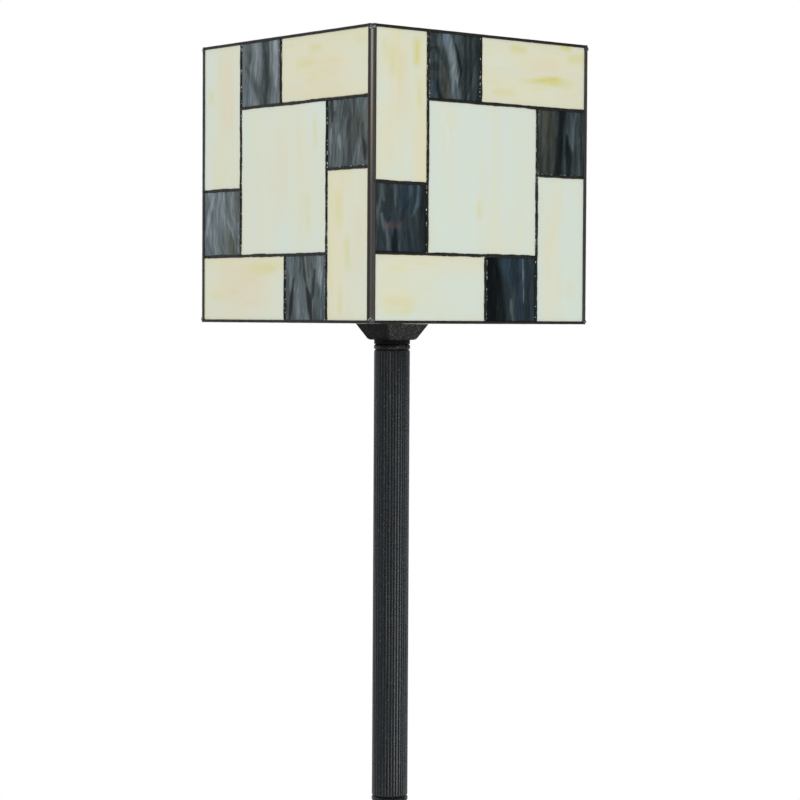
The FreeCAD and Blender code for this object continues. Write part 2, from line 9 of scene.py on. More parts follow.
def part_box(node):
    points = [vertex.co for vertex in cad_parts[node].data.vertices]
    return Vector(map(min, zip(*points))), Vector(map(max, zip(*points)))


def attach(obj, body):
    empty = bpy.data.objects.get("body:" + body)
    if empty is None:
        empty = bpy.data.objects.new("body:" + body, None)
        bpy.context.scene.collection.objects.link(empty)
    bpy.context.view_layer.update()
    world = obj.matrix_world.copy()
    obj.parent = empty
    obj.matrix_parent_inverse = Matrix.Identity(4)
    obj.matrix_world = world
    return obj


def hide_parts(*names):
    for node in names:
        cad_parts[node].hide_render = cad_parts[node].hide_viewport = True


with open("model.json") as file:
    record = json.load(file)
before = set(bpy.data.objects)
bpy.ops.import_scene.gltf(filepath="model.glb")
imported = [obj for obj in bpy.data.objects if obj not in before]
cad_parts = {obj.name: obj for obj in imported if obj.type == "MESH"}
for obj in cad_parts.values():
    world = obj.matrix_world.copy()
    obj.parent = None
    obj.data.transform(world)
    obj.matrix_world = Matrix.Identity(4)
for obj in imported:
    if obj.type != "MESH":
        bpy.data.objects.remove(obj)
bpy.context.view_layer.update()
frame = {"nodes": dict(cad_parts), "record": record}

scene = bpy.context.scene
scene.view_settings.view_transform = "Standard"
print("frame loaded:", len(frame["nodes"]), "nodes")


# Small helpers for node trees and meshes. A socket knows its tree, so most of them are told sockets only.
socketKinds = {"Vector": "Vector", "Geometry": "Geometry", "Finish": "Material", "Around": "Int",
               "Seed": "Int"}  # the other sockets are floats
noiseSpan = (0.3, 0.7)  # most values of a noise texture lie in here
fleckSpan = (0.1, 0.9)
white = (1.0, 1.0, 1.0, 1.0)


def linear(red, green, blue):  # screen colour, 0 to 255
    def one(c):
        c = c / 255
        return c / 12.92 if c <= 0.04045 else ((c + 0.055) / 1.055) ** 2.4
    return (one(red), one(green), one(blue), 1.0)


def isSocket(value):
    return isinstance(value, bpy.types.NodeSocket)


def fill(node, values):
    for key, value in values.items():
        if isSocket(value):
            node.id_data.links.new(value, node.inputs[key])
        else:
            node.inputs[key].default_value = value


def put(tree, kind, values=None, **settings):
    node = tree.nodes.new(kind)
    for key, value in settings.items():
        setattr(node, key, value)
    fill(node, values or {})
    return node


def made(kind, values, **settings):  # first output of a new node beside its inputs
    tree = next(value.id_data for value in values.values() if isSocket(value))
    return put(tree, kind, values, **settings).outputs[0]


def calc(operation, a, b=0.0):
    return made("ShaderNodeMath", {0: a, 1: b}, operation=operation)


def plus(a, b):
    return calc("ADD", a, b)


def minus(a, b):
    return calc("SUBTRACT", a, b)


def times(a, b):
    return calc("MULTIPLY", a, b)


def vectorCalc(operation, a, b):
    return made("ShaderNodeVectorMath", {0: a, 1: b}, operation=operation)


def scaled(vector, factor):
    return made("ShaderNodeVectorMath", {0: vector, "Scale": factor}, operation="SCALE")


def combine(x=0.0, y=0.0, z=0.0):
    return made("ShaderNodeCombineXYZ", {0: x, 1: y, 2: z})


def parts(vector):
    return put(vector.id_data, "ShaderNodeSeparateXYZ", {0: vector}).outputs


def spread(value, low, high, start=0.0, end=1.0, smooth=False):
    kind = "SMOOTHSTEP" if smooth else "LINEAR"
    return made("ShaderNodeMapRange", {0: value, 1: low, 2: high, 3: start, 4: end}, interpolation_type=kind)


def tint(factor, first, second):  # colours are sockets or screen colours
    first, second = (colour if isSocket(colour) else linear(*colour) for colour in (first, second))
    return put(factor.id_data, "ShaderNodeMix", {0: factor, 6: first, 7: second}, data_type="RGBA").outputs[2]


def grainOf(vector, scale, detail=2.0, roughness=0.5, distortion=0.0):
    values = {"Vector": vector, "Scale": scale, "Detail": detail, "Roughness": roughness,
              "Distortion": distortion}
    return put(vector.id_data, "ShaderNodeTexNoise", values).outputs["Fac"]


def swayOf(vector, scale, detail):  # noise as a shift to all sides
    sway = put(vector.id_data, "ShaderNodeTexNoise", {"Vector": vector, "Scale": scale, "Detail": detail})
    return vectorCalc("SUBTRACT", sway.outputs["Color"], (0.5, 0.5, 0.5))


def bumpOf(height, distance):
    return put(height.id_data, "ShaderNodeBump", {"Height": height, "Distance": distance}).outputs["Normal"]


def newTree(name, kind, inputs, outputs):
    tree = bpy.data.node_groups.new(name, kind)
    for direction, labels in (("INPUT", inputs), ("OUTPUT", outputs)):
        for label in labels.split():
            socketType = "NodeSocket" + socketKinds.get(label, "Float")
            tree.interface.new_socket(label, in_out=direction, socket_type=socketType)
    return tree, tree.nodes.new("NodeGroupInput").outputs, tree.nodes.new("NodeGroupOutput")


def newFinish(name):
    finish = bpy.data.materials.new(name)
    finish.use_nodes = True
    tree = finish.node_tree
    return finish, tree, tree.nodes["Principled BSDF"]


def newObject(name, data):
    thing = bpy.data.objects.new(name, data)
    scene.collection.objects.link(thing)
    return thing


def meshFrom(name, points, faces, finish, smooth=True):
    mesh = bpy.data.meshes.new(name)
    mesh.from_pydata(points, [], faces)
    mesh.materials.append(finish)
    mesh.polygons.foreach_set("use_smooth", [smooth] * len(mesh.polygons))
    mesh.update()
    return mesh


def lineMesh(name, points, edges):
    mesh = bpy.data.meshes.new(name)
    mesh.from_pydata(points, edges, [])
    return mesh


def growPiece(name, tree, seedMesh, values):
    piece = newObject(name, seedMesh)
    grower = piece.modifiers.new(name, "NODES")
    grower.node_group = tree
    sockets = {item.name: item.identifier for item in tree.interface.items_tree
               if item.item_type == "SOCKET" and item.in_out == "INPUT"}
    for label, value in values.items():
        grower[sockets[label]] = value
    deps = bpy.context.evaluated_depsgraph_get()
    grown = bpy.data.meshes.new_from_object(piece.evaluated_get(deps), preserve_all_data_layers=True,
                                            depsgraph=deps)
    piece.modifiers.remove(grower)
    piece.data = grown
    grown.name = name
    return piece


# Shader groups
def makeStreaks():  # drawn-out swirls of sheet glass, along X of the vector
    tree, given, out = newTree("glassStreaks", "ShaderNodeTree", "Vector Along Across Swirl",
                               "Broad Fine Height")
    place = vectorCalc("ADD", given["Vector"], scaled(swayOf(given["Vector"], 26.0, 2.0), given["Swirl"]))
    drawn = vectorCalc("MULTIPLY", place, combine(given["Along"], given["Across"], 1.0))
    broad = grainOf(drawn, 1.0, 3.0, 0.5)
    fine = grainOf(drawn, 3.3, 5.0, 0.62)
    height = plus(times(broad, 0.65), times(fine, 0.35))
    fill(out, {"Broad": broad, "Fine": fine, "Height": height})
    return tree


def makeSkin():  # mottled skin of cast, plated or blackened metal
    tree, given, out = newTree("metalSkin", "ShaderNodeTree", "Vector Cell Grain", "Cloud Fleck Height")
    cloud = grainOf(given["Vector"], 34.0, 4.0, 0.6, 0.4)
    cells = put(tree, "ShaderNodeTexVoronoi",
                {"Vector": given["Vector"], "Scale": given["Cell"], "Smoothness": 0.6}, feature="SMOOTH_F1")
    dent = spread(cells.outputs["Distance"], 0.1, 0.75)
    fleck = spread(grainOf(given["Vector"], given["Grain"], 3.0, 0.7), 0.35, 0.75)
    height = plus(times(dent, 0.6), times(fleck, 0.4))
    fill(out, {"Cloud": cloud, "Fleck": fleck, "Height": height})
    return tree


glassStreaks = makeStreaks()
metalSkin = makeSkin()


def streaksOf(vector, along, across, swirl):
    values = {"Vector": vector, "Along": along, "Across": across, "Swirl": swirl}
    return put(vector.id_data, "ShaderNodeGroup", values, node_tree=glassStreaks).outputs


def skinOf(vector, cell, grain):
    values = {"Vector": vector, "Cell": cell, "Grain": grain}
    return put(vector.id_data, "ShaderNodeGroup", values, node_tree=metalSkin).outputs


def objectPlace(tree):
    return put(tree, "ShaderNodeTexCoord").outputs["Object"]


# Glass finishes. The panes carry a streak map and the paint of their strokes.
creamGlass = {"cool": (218, 228, 215), "warm": (227, 224, 193), "blush": (226, 216, 190),
              "amber": (215, 210, 124), "speck": (120, 100, 70), "rough": (0.16, 0.28), "bump": 0.0004,
              "flow": (4.5, 30.0, 0.01), "drawn": (6.0, 62.0, 0.006), "apart": (2.9, 4.1, 1.7),
              "drift": (-0.45, 0.45), "haze": (0.5, 0.72, 0.0, 0.5), "pale": (0.5, 0.78, 0.0, 0.3),
              "stray": (0.52, 0.76, 0.0, 0.4), "blushRange": (0.5, 1.2), "amberRange": (0.6, 1.25),
              "speckScale": 17.0, "speckSize": 0.011, "speckFrom": 0.8, "speckStrength": 0.7}
darkGlass = {"deep": (9, 16, 18), "slate": (60, 71, 73), "teal": (109, 123, 127), "pale": (167, 177, 186),
             "deepOlive": (18, 21, 17), "olive": (97, 99, 84), "deepBlue": (10, 21, 30),
             "blue": (82, 112, 134), "rough": (0.04, 0.1), "bump": 0.0001, "through": 0.35, "shine": 0.06,
             "bend": 1.5, "flow": (10.0, 80.0, 0.016), "cross": (15.0, 140.0, 0.02),
             "apart": (3.7, 1.3, 5.1), "strands": (1.1, 1.1, 0.9), "calm": (0.0, 0.8, 0.25, 1.0)}
clearGlass = {"clear": (250, 252, 252), "tinge": (240, 246, 245), "rough": (0.01, 0.04), "bend": 1.45,
              "flow": (30.0, 60.0, 0.01)}


def paneInputs(tree):
    streak = put(tree, "ShaderNodeUVMap", uv_map="streakMap").outputs[0]
    return streak, parts(put(tree, "ShaderNodeAttribute", attribute_name="paint").outputs["Vector"])


def makeCreamFinish(c):
    finish, tree, shader = newFinish("cream_glass_finish")
    streak, (warmth, amberAmount, blushAmount) = paneInputs(tree)
    flow = streaksOf(streak, *c["flow"])
    drawn = streaksOf(vectorCalc("ADD", streak, c["apart"]), *c["drawn"])
    warm = made("ShaderNodeClamp", {0: plus(warmth, spread(flow["Broad"], *noiseSpan, *c["drift"]))})
    colour = tint(warm, c["cool"], c["warm"])
    haze = times(spread(drawn["Broad"], *c["haze"], True), warm)
    blush = times(spread(drawn["Broad"], *noiseSpan, *c["blushRange"]), blushAmount)
    colour = tint(calc("MAXIMUM", haze, blush), colour, c["blush"])
    colour = tint(spread(drawn["Fine"], *c["pale"], True), colour, c["cool"])
    amber = times(spread(drawn["Broad"], *noiseSpan, *c["amberRange"]), amberAmount)
    stray = times(spread(flow["Fine"], *c["stray"], True), warm)
    colour = tint(calc("MAXIMUM", amber, stray), colour, c["amber"])
    seeds = put(tree, "ShaderNodeTexVoronoi", {"Vector": streak, "Scale": c["speckScale"]}).outputs
    chosen = calc("GREATER_THAN", parts(seeds["Color"])[0], c["speckFrom"])
    speck = times(calc("LESS_THAN", seeds["Distance"], c["speckSize"]), chosen)
    colour = tint(times(speck, c["speckStrength"]), colour, c["speck"])
    fill(shader, {"Base Color": colour, "Roughness": spread(flow["Fine"], *noiseSpan, *c["rough"]),
                  "Normal": bumpOf(flow["Height"], c["bump"])})
    return finish


def makeDarkFinish(c):
    finish, tree, shader = newFinish("dark_glass_finish")
    streak, (ground, brown, blue) = paneInputs(tree)
    flow = streaksOf(streak, *c["flow"])
    cross = streaksOf(vectorCalc("ADD", streak, c["apart"]), *c["cross"])
    grains = zip((flow["Broad"], flow["Fine"], cross["Fine"]), c["strands"])
    broad, fine, thin = (times(minus(grain, 0.5), amount) for grain, amount in grains)
    calm = spread(ground, *c["calm"])  # the strands are quieter in the deep parts
    tone = plus(ground, times(plus(plus(broad, fine), thin), calm))
    grey = tint(spread(tone, 0.0, 0.5), c["deep"], c["slate"])
    grey = tint(spread(tone, 0.5, 0.9), grey, c["teal"])
    grey = tint(spread(tone, 0.9, 1.4), grey, c["pale"])
    earthy = tint(spread(tone, 0.0, 1.0), c["deepOlive"], c["olive"])
    cold = tint(spread(tone, 0.0, 1.0), c["deepBlue"], c["blue"])
    colour = tint(blue, tint(brown, grey, earthy), cold)
    fill(shader, {"Base Color": colour, "Roughness": spread(flow["Fine"], *noiseSpan, *c["rough"]),
                  "Transmission Weight": c["through"], "Specular IOR Level": c["shine"], "IOR": c["bend"],
                  "Normal": bumpOf(flow["Height"], c["bump"])})
    return finish


def makeClearGlass(c):
    finish, tree, shader = newFinish("clear_glass_finish")
    flow = streaksOf(objectPlace(tree), *c["flow"])
    fill(shader, {"Base Color": tint(flow["Broad"], c["clear"], c["tinge"]),
                  "Roughness": spread(flow["Fine"], *noiseSpan, *c["rough"]),
                  "Transmission Weight": 1.0, "IOR": c["bend"]})
    return finish


# Metal finishes, and the plain ones of plastic, rubber and porcelain
def makeMetal(name, dark, light, rough, cell, grain, bump, metallic=0.0, glint=None, shine=0.5,
              flecks=(0.62, 0.95)):
    finish, tree, shader = newFinish(name)
    skin = skinOf(objectPlace(tree), cell, grain)
    colour = tint(spread(skin["Cloud"], *noiseSpan), dark, light)
    # glint flecks are painted highlights, bright specks put into the base colour
    if glint:
        colour = tint(spread(skin["Fleck"], *flecks, 0.0, 0.75, True), colour, glint)
    fill(shader, {"Base Color": colour, "Roughness": spread(skin["Fleck"], *fleckSpan, *rough),
                  "Metallic": metallic, "Specular IOR Level": shine, "Normal": bumpOf(skin["Height"], bump)})
    return finish


metalLooks = {
    # the joint rings: dark, with a dotted row of painted glints
    "black_metal": dict(dark=(10, 11, 11), light=(20, 21, 22), rough=(0.3, 0.42), cell=420.0, grain=520.0,
                        bump=0.0005, glint=(112, 114, 114), shine=0.2, flecks=(0.56, 0.8)),
    "solder": dict(dark=(9, 9, 6), light=(24, 22, 16), rough=(0.24, 0.45), cell=500.0, grain=1300.0,
                   bump=0.0004, glint=(46, 45, 40), shine=0.2),
    # the grains along the seams: near-white, painted glints
    "bright_solder": dict(dark=(196, 196, 192), light=(240, 240, 236), rough=(0.16, 0.3), cell=700.0,
                          grain=1500.0, bump=0.0002, metallic=0.25),
    # the corner lumps: dark solder with white flecks painted on as glints
    "solder_with_glints": dict(dark=(12, 12, 12), light=(34, 33, 32), rough=(0.12, 0.3), cell=520.0, grain=620.0,
                   bump=0.0006, glint=(226, 226, 224), metallic=0.2, shine=0.9, flecks=(0.5, 0.68)),
    "iron": dict(dark=(62, 60, 58), light=(96, 93, 90), rough=(0.55, 0.8), cell=260.0, grain=900.0,
                 bump=0.0008, metallic=0.5),
    "steel": dict(dark=(150, 150, 152), light=(186, 187, 190), rough=(0.28, 0.42), cell=300.0, grain=1600.0,
                  bump=0.0001, metallic=1.0),
    "brass": dict(dark=(168, 132, 70), light=(206, 172, 104), rough=(0.22, 0.36), cell=280.0, grain=1400.0,
                  bump=0.0001, metallic=1.0),
    "rubber": dict(dark=(22, 22, 23), light=(34, 34, 35), rough=(0.7, 0.9), cell=600.0, grain=1600.0,
                   bump=0.0003),
    "black_plastic": dict(dark=(20, 19, 18), light=(33, 30, 28), rough=(0.2, 0.32), cell=200.0, grain=1500.0,
                          bump=0.0001, glint=(44, 38, 34)),
    "white_plastic": dict(dark=(214, 211, 202), light=(230, 228, 221), rough=(0.34, 0.46), cell=240.0,
                          grain=1300.0, bump=0.0001),
    "lead_sheath": dict(dark=(196, 192, 180), light=(216, 213, 204), rough=(0.4, 0.55), cell=300.0,
                        grain=1200.0, bump=0.0002),
    "porcelain": dict(dark=(226, 223, 214), light=(240, 238, 231), rough=(0.1, 0.2), cell=160.0, grain=900.0,
                      bump=0.00015),
    "black_glass": dict(dark=(14, 14, 16), light=(24, 24, 27), rough=(0.06, 0.14), cell=300.0, grain=900.0,
                        bump=0.0001),
}
castBlack = {"dark": (14, 15, 15), "light": (24, 25, 25), "litHammered": (25, 26, 26), "glint": (47, 48, 48),
             "rough": (0.5, 0.32), "bump": 0.0012, "shine": 0.3, "lean": 0.7, "marks": (430.0, 430.0, 300.0),
             "sides": 1.0, "above": 0.0, "skin": (560.0, 800.0)}
# The cup's front and back are painted as its lit side, lighter and with painted glints; its left and right
# sides are painted darker, as its shaded side
cupBlack = {"dark": (6, 7, 6), "light": (11, 12, 11), "litHammered": (46, 48, 47), "glint": (94, 96, 94),
            "rough": (0.62, 0.42), "bump": 0.0008, "shine": 0.1, "lean": 0.7, "marks": (640.0, 640.0, 240.0),
            "sides": 0.0, "above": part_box("fitter_cup")[0][2], "neck": 0.0036, "skin": (560.0, 800.0)}
castEdge = {"sides": 0.002, "above": 0.0004}  # half the width of the change at a border


def makeCast(name, c):  # hammered on the front and the back, and on the two sides as far as c says; the hammered faces are painted lighter as the lit side, with painted glints, the others darker as the shaded side
    finish, tree, shader = newFinish(name)
    place = objectPlace(tree)
    skin = skinOf(place, *c["skin"])
    x, y, z = parts(place)
    ahead = minus(calc("ABSOLUTE", y), calc("ABSOLUTE", x))
    litHammered = spread(ahead, -castEdge["sides"], castEdge["sides"], c["sides"], 1.0, True)
    start = c["above"] + c.get("neck", 0.0)  # the neck of a cup is smooth and keeps the darker colour of the shaded side
    litHammered = times(litHammered, spread(z, start - castEdge["above"], start + castEdge["above"]))
    turned = {"Vector": place, "Rotation": (0.0, c["lean"], 0.0), "Scale": c["marks"]}
    marks = spread(grainOf(made("ShaderNodeMapping", turned), 1.0, 2.0, 0.6), 0.45, 0.68, 0.0, 1.0, True)
    plain = tint(spread(skin["Cloud"], *noiseSpan), c["dark"], c["light"])
    litSideColour = tint(marks, c["litHammered"], c["glint"])
    height = plus(skin["Height"], times(marks, litHammered))
    fill(shader, {"Base Color": tint(litHammered, plain, litSideColour),
                  "Roughness": spread(marks, 0.0, 1.0, *c["rough"]), "Specular IOR Level": c["shine"],
                  "Normal": bumpOf(height, c["bump"])})
    return finish


filamentGlow = {"red": (232, 84, 40), "pale": (255, 150, 92), "dark": (0, 0, 0), "wire": (60, 40, 30),
                "strength": 120.0, "coil": 0.007, "coilEdge": 0.001, "hot": (-0.0040, 0.0074),
                "hotHalf": 0.0038, "bump": 0.0001, "skin": (900.0, 900.0)}


def makeFilament(c):
    finish, tree, shader = newFinish("filament_finish")
    place = objectPlace(tree)
    skin = skinOf(place, *c["skin"])
    along, _, height = parts(place)
    glow = tint(spread(along, *c["hot"]), c["red"], c["pale"])
    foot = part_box("bulb_filament")[1][2] - c["coil"]
    coil = spread(height, foot - c["coilEdge"], foot)  # the lead wires below the coil stay dark
    gaps = [calc("ABSOLUTE", minus(along, at)) for at in c["hot"]]
    hot = times(coil, spread(calc("MINIMUM", *gaps), c["hotHalf"], 0.0, 0.0, 1.0, True))
    fill(shader, {"Emission Color": tint(hot, c["dark"], glow), "Emission Strength": c["strength"],
                  "Base Color": linear(*c["wire"]), "Normal": bumpOf(skin["Height"], c["bump"])})
    return finish


# The hollows of the flutes are painted darker as shade, and sparse bright flecks on the lands are painted
# glints
flutedBlack = {"hollow": (14, 17, 20), "land": (33, 39, 43), "highlight": (112, 122, 127), "rough": (0.14, 0.26),
               "dull": 0.7, "bump": 0.0001, "shine": 0.28, "skin": (300.0, 800.0),
               "lines": (420.0, 420.0, 16.0), "fray": (-0.35, 0.25), "highlightFlecks": (0.62, 0.95, 0.0, 0.9)}


def makeFluted(c):  # reads the hollow of each flute, 0 on the lands and 1 in the bottom; the hollows are painted darker as shade
    finish, tree, shader = newFinish("fluted_black_finish")
    place = objectPlace(tree)
    skin = skinOf(place, *c["skin"])
    hollow = put(tree, "ShaderNodeAttribute", attribute_name="hollow").outputs["Fac"]
    drawn = vectorCalc("MULTIPLY", place, c["lines"])
    lines = spread(grainOf(drawn, 1.0, 3.0, 0.6), *noiseSpan)
    edge = spread(plus(hollow, spread(lines, 0.0, 1.0, *c["fray"])), 0.0, 0.75, 0.0, 1.0, True)
    colour = tint(edge, c["land"], c["hollow"])
    highlight = times(spread(skin["Fleck"], *c["highlightFlecks"], True), spread(edge, 0.0, 0.5, 1.0, 0.0))
    polished = spread(skin["Fleck"], *fleckSpan, *c["rough"])
    fill(shader, {"Base Color": tint(highlight, colour, c["highlight"]),
                  "Roughness": spread(edge, 0.0, 1.0, polished, c["dull"]),
                  "Specular IOR Level": c["shine"], "Normal": bumpOf(skin["Height"], c["bump"])})
    return finish


# The corner cames carry a painted highlight along the crest of their rounding: dim low down, warmer in the
# middle, brightest near the top
leadCame = {"dark": (33, 32, 27), "light": (48, 46, 41), "crest": (148, 144, 139), "warmHighlight": (130, 116, 104),
            "highlight": (68, 66, 63), "rough": (0.34, 0.46), "bump": 0.00001, "shine": 0.35,
            "skin": (160.0, 700.0), "crestHighlight": (0.6, 1.0, 0.0, 0.95), "warmHighlightSpan": (0.45, 0.72),
            "crestSpan": (0.7, 0.95), "ends": [end[2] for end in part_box("corner_cames")]}


def makeCameFinish(c):  # reads the crest of the rounded corner, where a highlight stripe is painted into the colour, dim at the bottom and brightest near the top
    finish, tree, shader = newFinish("lead_came_finish")
    place = objectPlace(tree)
    skin = skinOf(place, *c["skin"])
    crest = put(tree, "ShaderNodeAttribute", attribute_name="crest").outputs["Fac"]
    up = spread(parts(place)[2], *c["ends"])
    crestHighlight = spread(crest, *c["crestHighlight"], True)
    colour = tint(spread(skin["Cloud"], *noiseSpan), c["dark"], c["light"])
    stripe = tint(spread(up, *c["warmHighlightSpan"]), c["highlight"], c["warmHighlight"])
    stripe = tint(spread(up, *c["crestSpan"]), stripe, c["crest"])
    fill(shader, {"Base Color": tint(crestHighlight, colour, stripe),
                  "Roughness": spread(skin["Fleck"], *fleckSpan, *c["rough"]),
                  "Specular IOR Level": c["shine"], "Normal": bumpOf(skin["Height"], c["bump"])})
    return finish


finishes = {name: makeMetal(name + "_finish", **look) for name, look in metalLooks.items()}
finishes["cream_glass"] = makeCreamFinish(creamGlass)
finishes["dark_glass"] = makeDarkFinish(darkGlass)
finishes["clear_glass"] = makeClearGlass(clearGlass)
finishes["fluted_black"] = makeFluted(flutedBlack)
finishes["lead_came"] = makeCameFinish(leadCame)
finishes["cast_black"] = makeCast("cast_black_finish", castBlack)
finishes["cup_black"] = makeCast("cup_black_finish", cupBlack)
finishes["filament"] = makeFilament(filamentGlow)
print("finishes made:", len(finishes))


# Shade, set out on the front face and turned about the pole for the others
shade = {"side": 0.230, "height": 0.230, "bottom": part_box("bottom_rim")[0][2], "lip": 0.001, "glass": 0.003,
         "setback": 0.0044, "heart": 0.0008, "seamLeft": 0.05715, "seamTop": 0.05455, "darkPitch": 0.0547}
faceTurns = {"front": 0.0, "right": 90.0, "back": 180.0, "left": 270.0}
side, tall, lip = shade["side"], shade["height"], shade["lip"]
shadeTop = shade["bottom"] + tall
seamLeft, seamTop = shade["seamLeft"], shade["seamTop"]
seamRight, seamBottom = side - seamLeft, tall - seamTop
topMid, bottomMid = seamLeft + shade["darkPitch"], seamRight - shade["darkPitch"]
rightMid, leftMid = seamTop + shade["darkPitch"], seamBottom - shade["darkPitch"]
creamSpots = {"tall_left": (0, seamLeft, 0, leftMid), "wide_top": (topMid, side, 0, seamTop),
              "middle": (seamLeft, seamRight, seamTop, seamBottom),
              "tall_right": (seamRight, side, rightMid, tall),
              "wide_bottom": (0, bottomMid, seamBottom, tall)}
darkSpots = {"top": (seamLeft, topMid, 0, seamTop), "right": (seamRight, side, seamTop, rightMid),
             "bottom": (bottomMid, seamRight, seamBottom, tall), "left": (0, seamLeft, leftMid, seamBottom)}


def onFace(u, v, depth):
    return Vector((u - side / 2, depth - side / 2, shadeTop - v))


def faceTurn(face):
    return Matrix.Rotation(math.radians(faceTurns[face]), 4, "Z")


# Inks of the strokes: warmth, amber and blush of cream glass, tone, brown and blue of dark glass
creamInks = {"cool": (0, 0, 0), "warm": (0.9, 0, 0), "amber": (0.8, 1, 0), "blush": (0.9, 0, 1)}
darkInks = {"black": (0.02, 0, 0), "deep": (0.2, 0, 0), "dusk": (0.36, 0, 0), "slate": (0.55, 0, 0),
            "ash": (0.78, 0, 0), "pale": (1.08, 0, 0), "white": (1.4, 0, 0), "moss": (0.42, 1, 0),
            "olive": (0.68, 1, 0), "straw": (1.05, 1, 0), "navy": (0.3, 0, 0.8), "blue": (0.6, 0, 0.8),
            "sky": (1, 0, 0.8)}
